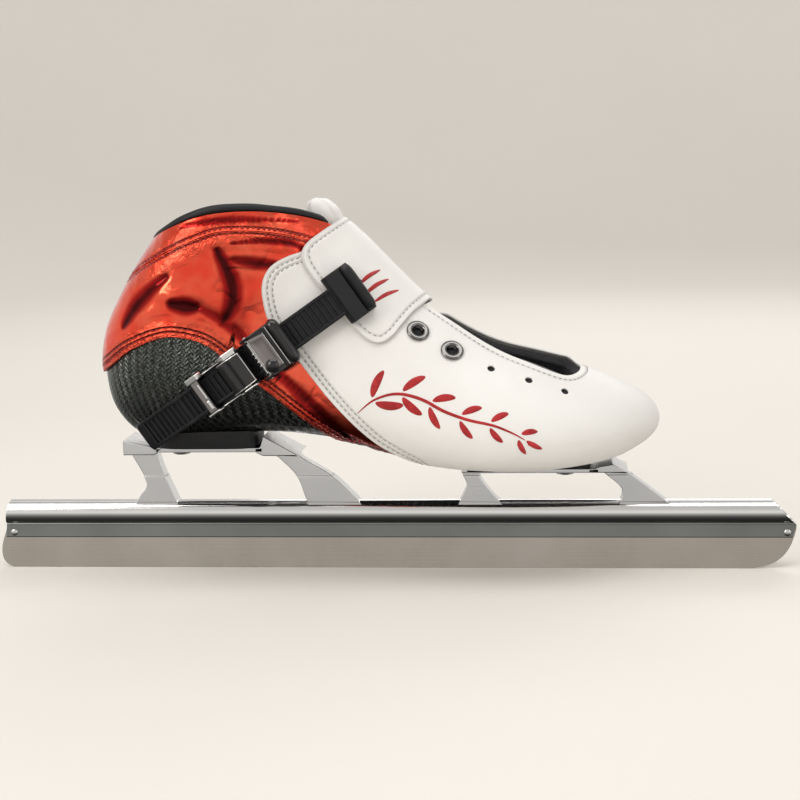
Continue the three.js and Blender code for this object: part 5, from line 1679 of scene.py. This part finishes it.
def stand(plate_box, wedges, legs, bolt_x):
    body = Solid()
    x0, x1, z0, z1 = plate_box
    half = STAND["plate_half"]
    outline = fillet([[x0, -half], [x1, -half], [x1, half], [x0, half]], 1.2)
    slot = np.vstack([
        circle(bolt_x, STAND["slot"], STAND["slot_radius"])[:17],
        circle(bolt_x, -STAND["slot"], STAND["slot_radius"])[16:],
    ])
    body.add(plate(outline, z0, z1, 0.3, [slot]))
    for wedge in wedges:
        body.add(side_plate(fillet(wedge, 0.5), -half, half, 0.5, steps=3))
    for rear_edge, front_edge in legs:
        profile = np.vstack([smooth(rear_edge, 6), smooth(front_edge, 6)])
        leg = clip_band(profile, STAND["foot_top"] - 0.6, STAND["top"])
        body.add(side_plate(leg, -STAND["leg"], STAND["leg"], 0.45, steps=3))
        foot = clip_band(profile, STAND["saddle"], STAND["foot_top"])
        body.add(side_plate(foot, -STAND["foot"], STAND["foot"], 0.35, steps=3))
        for sign in (-1, 1):
            wall = flank(sign, STAND["flank_inner"], STAND["foot"] - 0.06)
            body.add(side_plate(clip_band(profile, *STAND["flank"]), *wall, 0.05, steps=1))
    return body


rear_stand = stand(
    (-117.2, -61.2, 62.4, 64.6),
    [
        [[-133, 61], [-117.4, 61], [-115, 62.4], [-113, 64.6], [-115.5, 64.6], [-121, 66], [-133, 68.4]],
        [[-66, 62.4], [-62, 60.4], [-43.5, 60.4], [-61.6, 70.4], [-63.4, 64.6], [-66, 64.6]],
    ],
    [
        ([[-130, 32], [-127.6, 38], [-124.2, 42.5], [-124.5, 47.5], [-132, 61.5]],
         [[-118, 61.5], [-114.1, 49.1], [-110.3, 40.2], [-107, 32]]),
        ([[-40.5, 32], [-42.6, 38.5], [-46.8, 48.9], [-59, 61]],
         [[-46, 61], [-43, 57.4], [-29, 48.9], [-17, 37.5], [-12.5, 32]]),
    ],
    HEEL["bolt"],
)
front_stand = stand(
    (39.0, 106.0, 51.4, 53.4),
    [
        [[37.4, 51.4], [54, 51.4], [54, 53.4], [50, 54.2], [37.4, 54.2]],
        [[100, 51.4], [120, 51.4], [112, 55.6], [105.7, 54.6], [102.6, 53.4], [100, 53.4]],
    ],
    [
        ([[34.5, 32], [37.1, 38], [39.6, 43.6], [37.6, 49], [37.5, 52]],
         [[45.5, 52], [46.4, 47], [49.7, 42], [53.6, 37.4], [59, 32]]),
        ([[115, 32], [117.1, 38.4], [115.9, 42.9], [109.4, 48.5], [104, 52]],
         [[117, 52], [129.2, 42.9], [137.1, 36.8], [143, 32]]),
    ],
    TOE["bolt"],
)
piece("rear_stand_milled", rear_stand, MILLED, "blade_unit", ["rear_stand"], angle=32)
piece("front_stand_milled", front_stand, MILLED, "blade_unit", ["front_stand"], angle=32)

# ---------------------------------------------------------------- buckle

# Its own axes: x along the ladder, y across it, z outwards.

BUCKLE = {"x": -63.6, "y": -38.4, "z": 109.6, "tilt": math.radians(34.5)}
cos_tilt, sin_tilt = math.cos(BUCKLE["tilt"]), math.sin(BUCKLE["tilt"])
TO_SKATE = np.array([
    [cos_tilt, -sin_tilt, 0, BUCKLE["x"]], [0, 0, -1, BUCKLE["y"]], [sin_tilt, cos_tilt, 0, BUCKLE["z"]],
    [0, 0, 0, 1],
])
ARC = 168.4
LADDER = {"inner": ARC + 1.6, "web": ARC + 3, "teeth": ARC + 4.3, "half": 7.5, "rear": -66.5, "front": 62.0,
          "pitch": 2.9}
BASE = {"rear": -27.5, "front": 24.0, "floor": 1.2, "half": 9.7, "cheek": 1.3}
RELEASE_PIVOT = (-2.4, 9.4)
LEVER_PIVOT = (8.2, 9.0)
PAWL_PIVOT = (14.2, 9.4)
HOLE, PIN = 1.25, 1.1


def buckle_piece(name, form, material, body, nodes, angle=32):
    if isinstance(form, Solid):
        form = (form.points, form.faces)
    return piece(name, moved(form, TO_SKATE), material, body, nodes, angle)


def on_arc(form, place):
    """Moves a form along the ladder's arc."""
    turn = place / LADDER["inner"]
    points, faces = form
    x, y, z = points.T
    z = z + ARC
    sine, cosine = math.sin(turn), math.cos(turn)
    return np.stack([x * cosine + z * sine, y, z * cosine - x * sine - ARC], axis=1), faces


def bent(form):
    """Bends a form, drawn straight with its height over the arc's radius, along the arc."""
    points, faces = form
    turn = points[:, 0] / LADDER["inner"]
    radius = points[:, 2] + ARC
    return np.stack([radius * np.sin(turn), points[:, 1], radius * np.cos(turn) - ARC], axis=1), faces


def bar_along(x0, x1, y0, y1, z0, z1, bevel=0.3, pieces=1):
    """A bar with rounded edges, cut into short lengths so that it can bend."""
    count = pieces + 1
    xs = np.linspace(x0, x1, count)
    ring = fillet([[y0, z0], [y1, z0], [y1, z1], [y0, z1]], bevel, 4)
    inset = (ring - ring.mean(axis=0)) * (1 - 2 * bevel / max(y1 - y0, z1 - z0)) + ring.mean(axis=0)
    between = np.concatenate([[xs[0] + bevel], xs[1:-1], [xs[-1] - bevel]])
    rows = [(xs[0], inset)] + [(x, ring) for x in between]
    rows.append((xs[-1], inset))
    points = np.vstack([np.hstack([np.full((len(r), 1), x), r]) for x, r in rows])
    return points, grid_faces(len(rows), len(ring)) + end_faces(len(rows), len(ring))


def rounded_bar(x, z, half, radius, least, sides):
    """A round bar across the buckle, domed at its ends down to the least share of its size, squared."""
    across = np.linspace(-half, half, 34)
    swell = np.clip(1 - (np.abs(across) / (half + 0.05)) ** 7, least, 1) ** 0.5
    return tube_along([[x, y, z] for y in across], radius * swell, sides)


def seat_form():
    """The moulded seat between the boot's round side and the buckle's floor."""
    columns = np.linspace(-21, 18, 40)
    rows = np.linspace(-8.6, 8.6, 19)
    x, y = np.meshgrid(columns, rows, indexing="ij")
    turn = x / LADDER["inner"]
    top = np.stack([(ARC - GAP) * np.sin(turn), y, (ARC - GAP) * np.cos(turn) - ARC], axis=-1)
    placed, _ = moved((top.reshape(-1, 3), []), TO_SKATE)
    s, angle = on_side(placed[:, 0], placed[:, 2], -GAP)
    low = skin(s, angle, -GAP).reshape(top.shape)
    placed = placed.reshape(top.shape)
    low[..., 1] = np.maximum(low[..., 1], placed[..., 1] + 0.4)
    return slab(placed, low)


piece("buckle_seat_pad", seat_form(), PLASTIC, "boot", ["buckle_seat"], angle=40)

CHEEK = [
    [BASE["rear"], -2.3], [-12, -0.5], [0, 0], [12, -0.5], [BASE["front"], -1.7], [BASE["front"], 2.4],
    [15.5, 4.2], [11.4, 10.6], [6.6, 11.4], [2.8, 8.4], [0.6, 11.2], [-5, 11.8], [-8.5, 6.8], [-19.5, 5.4],
    [-22, 8.6], [BASE["rear"], 7.4],
]
cheek_outline = fillet(CHEEK, 1.1)
base = Solid()
base.add(bent(bar_along(BASE["rear"], BASE["front"], -BASE["half"], BASE["half"], 0, BASE["floor"], 0.3, 24)))
for sign in (-1, 1):
    walls = flank(sign, BASE["half"], BASE["half"] - BASE["cheek"])
    holes = [circle(*RELEASE_PIVOT, HOLE, 24), circle(*LEVER_PIVOT, HOLE, 24)]
    base.add(side_plate(cheek_outline, *walls, 0.35, holes, steps=3))
base.add(bar_along(BASE["rear"] + 0.6, BASE["rear"] + 3.6, -BASE["half"], BASE["half"], 4.9, 6.7, 0.6))
buckle_piece("buckle_frame", base, BLACK_NICKEL, "boot", ["buckle_base"])

# Painted highlights on the frame: bright nickel caps on the cheeks' humps, lines on the edges between them
# and lugs on the rear rim, where the black frame shows highlights.
REAR_HIGHLIGHT_LUG = [[-28.0, 6.8], [-22.3, 8.0], [-20.0, 6.5], [-19.2, 7.0], [-21.5, 9.7], [-28.2, 8.4]]
HUMP_HIGHLIGHT_CAP = [
    [-7.6, 8.7], [-5.0, 11.2], [0.2, 10.7], [1.6, 9.8], [2.6, 10.7], [0.9, 12.5], [-5.6, 12.9], [-8.8, 9.2],
]
RIM_HIGHLIGHT_LUG = [[-25.4, 6.2], [-23.3, 6.2], [-23.4, 7.5], [-25.2, 7.6]]
RIM_HIGHLIGHT_LINE = [[-24.6, 6.2], [-23.3, 6.2], [-23.4, 7.1], [-24.4, 7.2]]
frame_painted_highlights = Solid()
for sign, inner, outer in ((-1, 8.9, 10.0), (1, 8.4, 11.4)):
    for outline in (REAR_HIGHLIGHT_LUG, HUMP_HIGHLIGHT_CAP):
        frame_painted_highlights.add(side_plate(fillet(outline, 0.6), *flank(sign, inner, outer), 0.5, steps=4))
    edge = smooth([[-19.4, 5.5], [-16, 5.7], [-12.5, 6.2], [-9.2, 6.9]], 6)
    path = np.stack([edge[:, 0], np.full(len(edge), sign * 9.35), edge[:, 1]], axis=1)
    frame_painted_highlights.add(tube_along(path, 0.32, 10))
frame_painted_highlights.add(side_plate(fillet(RIM_HIGHLIGHT_LUG, 0.5), -7.4, -2.6, 0.5, steps=3))
frame_painted_highlights.add(side_plate(fillet(RIM_HIGHLIGHT_LINE, 0.3), -1.6, 6.4, 0.3, steps=2))
buckle_piece("buckle_frame_painted_highlights", frame_painted_highlights, HIGHLIGHT_NICKEL, "boot", [], 50)
rim_outline = fillet([[-26.9, 5.0], [-22.9, 4.7], [-22.7, 6.0], [-23.4, 6.75], [-26.9, 6.8]], 0.4)
rear_rim = side_plate(rim_outline, -9.0, 9.0, 0.35, steps=3)
buckle_piece("buckle_rear_rim", rear_rim, SMOKED, "boot", [])

screw_profile = [
    [0, -9.8], [1.6, -9.8], [1.8, -9.6], [1.8, -0.6], [3.2, -0.6], [3.3, -0.5], [3.3, 0.05], [2.9, 0.3],
    [1.3, 0.3], [1.2, 0.2], [1.2, -0.35], [0, -0.4],
]
at_screw = shifted(-15, 0, 0)
screw = six_flats(lathe(screw_profile, 48), 2.3, high=1.35)
buckle_piece("buckle_fixing_screw", moved(screw, at_screw), BRIGHT_STEEL, "boot", ["buckle_screw"])
nut_profile = [[2.1, -9.2], [4.1, -9.2], [4.4, -9.05], [4.4, -8.05], [4.1, -7.9], [2.1, -7.9]]
nut = six_flats(lathe(nut_profile, 48, closed=True), 7.6, low=3)
buckle_piece("buckle_fixing_nut", moved(nut, at_screw), BRIGHT_STEEL, "boot", ["buckle_nut"])


def ladder():
    """The ladder strap: a web with smooth raised borders and slanted teeth between them."""
    inner, web, teeth = (LADDER[k] - ARC for k in ("inner", "web", "teeth"))
    half, rear, front, pitch = (LADDER[k] for k in ("half", "rear", "front", "pitch"))
    solid = Solid()
    solid.add(bent(bar_along(rear + 0.8, front, -half + 0.05, half - 0.05, inner, web, 0.45, 70)))
    for sign in (-1, 1):
        rail = flank(sign, half, half - 1.7)
        solid.add(bent(bar_along(rear + 0.6, front, *rail, inner + 0.3, teeth - 0.1, 0.5, 70)))
    end = fillet([[rear, -half + 0.4], [rear + 5.2, -half + 0.4], [rear + 5.2, half - 0.4],
                  [rear, half - 0.4]], 2.2, 8)
    solid.add(bent(plate(end, inner + 0.1, teeth - 0.05, 0.6, steps=3)))
    x = front - 8
    while x > rear + pitch + 3.5:
        tooth = [[-1.55, web - 0.3], [0.1, web - 0.3], [-0.1, teeth - 0.5], [-0.35, teeth - 0.22],
                 [-0.85, teeth - 0.22],
                 [-1.2, teeth - 0.5]]
        solid.add(on_arc(side_plate(np.array(tooth), -half + 1.5, half - 1.5, 0.12, steps=1), x))
        x -= pitch
    return solid


buckle_piece("ladder_strap_band", ladder(), LADDER_PLASTIC, "ladder", ["ladder_strap"], 40)

# The anchor box grips the ladder's end; a round bar stands along its toe side.
ANCHOR_PLACE = 60
anchor = Solid()
anchor_side = [[-7.2, 0.6], [-7.2, 3.4], [-5.4, 5.6], [2.0, 6.5], [2.4, 5.6], [7.4, 5.4], [7.4, -0.4],
               [-3, -0.6]]
anchor.add(side_plate(fillet(anchor_side, 0.7), -13, 13, 0.7, steps=4))
anchor.add(rounded_bar(5.3, 6.2, 13, 2.75, 0.02, 32))
stud = lathe([[0, 0.5], [0.8, 0.45], [1.0, 0.2], [1.0, -0.6], [0, -0.6]], 24)
anchor.add(moved(stud, upright_to((1, 0, 0), (7.7, 1.5, 6.4))))
buckle_piece("anchor_box", on_arc((anchor.points, anchor.faces), ANCHOR_PLACE), PLASTIC, "ladder",
             ["anchor_block"], 35)

# ---------------------------------------------------------------- levers, pawl, pins and springs

px, pz = RELEASE_PIVOT
RELEASE = [
    [px - 7.2, 4.9], [px - 5.2, 5.2], [px - 1.4, pz - 2.4], [px + 1.8, pz - 2.2], [px + 2.6, pz],
    [px + 5.4, pz + 1.6], [px + 5, pz + 3], [px + 1, pz + 3.4], [px - 2.4, pz + 2.8], [px - 5.6, pz - 0.6],
]
release = Solid()
release.add(side_plate(fillet(RELEASE, 0.6), -8, 8, 0.4, [circle(px, pz, HOLE, 24)], steps=3))
# A rounded roll along its rear, a flat pad before it, and a bright nickel strip round the pad that paints the
# highlight on its edge.
roll = [[px - 4.7 + 3.5 * math.cos(t), pz + 0.4 + 3.4 * math.sin(t)] for t in np.linspace(0, 2 * PI, 40)[:-1]]
release.add(side_plate(roll, -7.7, 7.7, 0.5, steps=3))
pad = [[px - 1.2, pz + 2.6], [px + 4.2, pz + 2.4], [px + 4.4, pz + 3.5], [px - 1.0, pz + 4.0]]
release.add(side_plate(fillet(pad, 0.4), -7.5, 7.5, 0.4, steps=3))
buckle_piece("release_plate", release, GLOSS, "release", ["release_lever"])
bevel = [
    [px - 8.1, 7.9, pz + 1.0], [px - 6.0, 8.0, pz + 3.0], [px - 2.8, 8.0, pz + 3.75],
    [px - 0.6, 7.9, pz + 3.95], [px + 4.2, 7.7, pz + 3.5], [px + 4.55, 7.2, pz + 3.4],
]
bevel += [[px + 4.6, y, pz + 3.4] for y in (5, 2, -2, -5)]
bevel += [[x, -y, z] for x, y, z in reversed(bevel[:6])]
buckle_piece("release_plate_painted_highlight", tube_along(smooth(bevel, 5), 0.3, 10), HIGHLIGHT_NICKEL, "release", [], 50)

lx, lz = LEVER_PIVOT
ARM = [
    [lx - 3.6, lz - 1.6], [lx - 1, lz - 3], [lx + 6, lz - 2.6], [lx + 13.5, lz - 2.4], [lx + 13.5, lz + 3.6],
    [lx + 3, lz + 4.6], [lx - 2.6, lz + 2.4],
]
EAR = [[12.3, 7.5], [16.1, 7.5], [16.1, lz + 3.6], [12.3, lz + 3.6]]
LEVER_TOP = [[lx + 1.2, lz + 2.9], [lx + 13.2, lz + 2.5], [lx + 13.2, lz + 3.6], [lx + 2.2, lz + 4.1]]
LEVER_RIDGE = [[lx + 9.9, lz + 3.4], [lx + 12.4, lz + 3.2], [lx + 12.6, lz + 4.9], [lx + 10.2, lz + 4.7]]
lever = Solid()
for sign in (-1, 1):
    bore = [circle(lx, lz, HOLE, 24)]
    lever.add(side_plate(fillet(ARM, 1.0), *flank(sign, 10.0, 11.4), 0.45, bore, steps=3))
    lever.add(side_plate(fillet(EAR, 0.5), *flank(sign, 6.6, 7.8), 0.2, [circle(*PAWL_PIVOT, HOLE, 24)]))
for outline, half, bevel in ((LEVER_TOP, 11.0, 0.4), (LEVER_RIDGE, 11.2, 0.5)):
    lever.add(side_plate(fillet(outline, bevel), -half, half, bevel, steps=3))
lever.add(rounded_bar(lx + 15, lz + 1.1, 12.2, 3.5, 0.03, 36))
bulge = lathe([[0, 1.5], [1.5, 1.35], [2.7, 0.85], [3.3, 0.1], [3.4, -0.8], [0, -0.8]], 32)
lever.add(moved(bulge, shifted(lx + 4.6, -6.6, lz + 5.0)))
buckle_piece("ratchet_lever_body", lever, GLOSS, "lever", ["ratchet_lever"])


def dished_plate(x0, x1, half, z, dish, thickness, columns=14, rows=22):
    """A thin plate, sunk in its middle, with a rolled rim."""
    u, v = np.meshgrid(np.linspace(-1, 1, columns), np.linspace(-1, 1, rows), indexing="ij")
    rim = np.maximum(np.abs(u), np.abs(v))
    narrow = 1 - 0.12 * (u + 1) / 2
    x = (x0 + x1) / 2 + (x1 - x0) / 2 * u
    y = half * v * narrow
    top = z - dish * (1 - rim**4) - 0.35 * step(0.93, 1.0, rim)
    grid = np.stack([x, y, top], axis=-1)
    low = grid.copy()
    low[..., 2] = z - dish - thickness
    return slab(grid, low)


buckle_piece("ratchet_lever_plate", dished_plate(lx + 1.5, lx + 9.6, 9.8, lz + 5.2, 0.55, 0.7), SMOKED,
             "lever", [], 45)
# Bright nickel strips along the lever plate's edges: painted highlights.
lever_painted_highlights = Solid()
for x, half, height in ((lx + 1.5, 9.6, lz + 5.0), (lx + 9.9, 8.8, lz + 5.0), (lx + 12.3, 10.6, lz + 4.9)):
    lever_painted_highlights.add(tube_along([[x, y, height] for y in np.linspace(-half, half, 16)], 0.24, 10))
buckle_piece("ratchet_lever_painted_highlights", lever_painted_highlights, HIGHLIGHT_NICKEL, "lever", [], 50)

wx, wz = PAWL_PIVOT
PAWL = [
    [wx - 4.4, 5], [wx - 3, 4.8], [wx + 1.6, wz - 1.9], [wx + 2, wz + 0.4], [wx + 0.6, wz + 2],
    [wx - 1.6, wz + 1.6],
]
pawl = side_plate(fillet(PAWL, 0.4), -6.2, 6.2, 0.25, [circle(wx, wz, HOLE, 24)])
buckle_piece("drive_pawl_body", pawl, BRIGHT_STEEL, "pawl", ["drive_pawl"])


def pin(name, pivot, reach, body, node):
    profile = [[0, -reach], [0.75, -reach], [1.0, -reach + 0.12], [PIN, -reach + 0.35], [PIN, reach - 0.35],
               [1.0, reach - 0.12], [0.75, reach], [0, reach]]
    turned = moved(moved(lathe(profile, 28), TO_Y), shifted(pivot[0], 0, pivot[1]))
    buckle_piece(name, turned, BRIGHT_STEEL, body, [node], 40)


pin("release_pin_steel", RELEASE_PIVOT, 10.2, "boot", "release_pin")
pin("lever_pin_steel", LEVER_PIVOT, 11.8, "boot", "lever_pin")
pin("pawl_pin_steel", PAWL_PIVOT, 7.7, "lever", "pawl_pin")


def spring(name, pivot, radius, wire, reach, turns, node):
    turn = np.linspace(0, 2 * PI * turns, turns * 28)
    path = np.stack([
        pivot[0] + radius * np.cos(turn), reach * (2 * turn / turn[-1] - 1), pivot[1] + radius * np.sin(turn),
    ], axis=1)
    buckle_piece(name, tube_along(path, wire / 2, 10), BRIGHT_STEEL, "boot", [node], 50)


spring("release_spring_coil", RELEASE_PIVOT, 1.75, 0.5, 2.2, 3, "release_spring")
spring("lever_spring_coil", LEVER_PIVOT, 1.8, 0.6, 4.5, 4, "lever_spring")

# ---------------------------------------------------------------- stage, light and camera


STAGE = {"flat": 1500, "curve": 1300}


def stage_bowl():
    """A pale floor that curves up into a wall all round."""
    turn = np.linspace(0, PI / 2 * 0.96, 24)
    flat, curve = STAGE["flat"], STAGE["curve"]
    profile = [[x, 0] for x in (0, 300, 700, 1100, flat)]
    profile += [[flat + curve * math.sin(t), curve * (1 - math.cos(t))] for t in turn[1:]]
    return lathe(profile, 128)


paper = Paint("stage_paper")
paper.set(base_color=paper.mix(paper.noise(3, 3), (0.80, 0.772, 0.725), (0.84, 0.812, 0.765)),
          roughness=paper.fit(paper.noise(40, 3), 0.3, 0.7, 0.82, 0.9),
          normal=paper.bump(paper.noise(900, 2), 0.05, 0.4))
floor = piece("stage_floor", stage_bowl(), paper.material, None)
floor.location.z = cad_box[0][2]
# Polished parts mirror the studio's lights and sky, not the paper.
floor.visible_glossy = False


def soft_light(name, place, target, width, height, power, colour):
    light = bpy.data.lights.new(name, "AREA")
    light.shape = "RECTANGLE"
    light.size, light.size_y = width, height
    light.energy = power
    light.color = colour
    lamp = bpy.data.objects.new(name, light)
    lamp.location = place
    lamp.rotation_euler = (Vector(target) - Vector(place)).to_track_quat("-Z", "Y").to_euler()
    bpy.context.scene.collection.objects.link(lamp)


MIDDLE = (0.0, 0.0, 0.09)
soft_light("overhead_softbox", (0.05, -0.35, 1.3), MIDDLE, 1.5, 0.7, 8, (1.0, 0.985, 0.96))
soft_light("front_left_softbox", (-0.95, -1.1, 0.8), MIDDLE, 0.7, 0.9, 8, (1.0, 0.97, 0.93))
soft_light("right_fill", (1.25, -0.75, 0.5), MIDDLE, 0.5, 0.9, 1.5, (0.96, 0.97, 1.0))
soft_light("back_rim", (0.3, 1.25, 0.9), MIDDLE, 1.3, 0.5, 5, (1.0, 0.98, 0.95))
soft_light("wall_wash", (0.0, 1.4, 2.2), (0.0, 2.8, 0.9), 3.5, 2.0, 10, (1.0, 0.98, 0.95))

# The studio's sky: bright round the horizon and dark low down, for polished metal to mirror.
SKY = [
    (0.0, 0.02), (0.07, 0.04), (0.18, 0.12), (0.33, 0.4), (0.42, 0.7), (0.47, 0.9), (0.58, 0.9), (0.7, 0.7),
    (0.985, 0.6), (1.0, 0.08),
]
world = bpy.data.worlds.new("studio")
bpy.context.scene.world = world
bpy.context.scene.view_settings.view_transform = "Standard"
world.use_nodes = True
nodes, links = world.node_tree.nodes, world.node_tree.links
background = nodes["Background"]
background.inputs["Strength"].default_value = 0.82
direction = nodes.new("ShaderNodeSeparateXYZ")
links.new(nodes.new("ShaderNodeTexCoord").outputs["Generated"], direction.inputs[0])
height = nodes.new("ShaderNodeMapRange")
height.inputs["From Min"].default_value = -1.0
links.new(direction.outputs["Z"], height.inputs["Value"])
sky = nodes.new("ShaderNodeValToRGB")
ramp = sky.color_ramp
for position, level in SKY[1:-1]:
    ramp.elements.new(position)
for element, (position, level) in zip(ramp.elements, SKY):
    element.position = position
    element.color = (level, 0.975 * level, 0.94 * level, 1.0)
links.new(height.outputs[0], sky.inputs[0])
links.new(sky.outputs[0], background.inputs["Color"])


def studio_camera(azimuth, elevation, distance, target, lens, roll):
    camera = bpy.data.objects.new("camera", bpy.data.cameras.new("camera"))
    camera.data.lens = lens
    camera.data.sensor_width = 36
    camera.data.clip_start, camera.data.clip_end = 0.02, 20
    a, e = math.radians(azimuth), math.radians(elevation)
    back = Vector((math.sin(a) * math.cos(e), -math.cos(a) * math.cos(e), math.sin(e)))
    camera.location = Vector(target) + back * distance
    facing = (-back).to_track_quat("-Z", "Y").to_matrix()
    right, up = facing.col[0].copy(), facing.col[1].copy()
    r = math.radians(roll)
    facing.col[0] = right * math.cos(r) + up * math.sin(r)
    facing.col[1] = up * math.cos(r) - right * math.sin(r)
    camera.rotation_euler = facing.to_euler()
    bpy.context.scene.collection.objects.link(camera)
    bpy.context.scene.camera = camera


studio_camera(azimuth=4.95, elevation=9, distance=0.850, target=(0.0064, 0, 0.08636), lens=76.2, roll=-1.13)
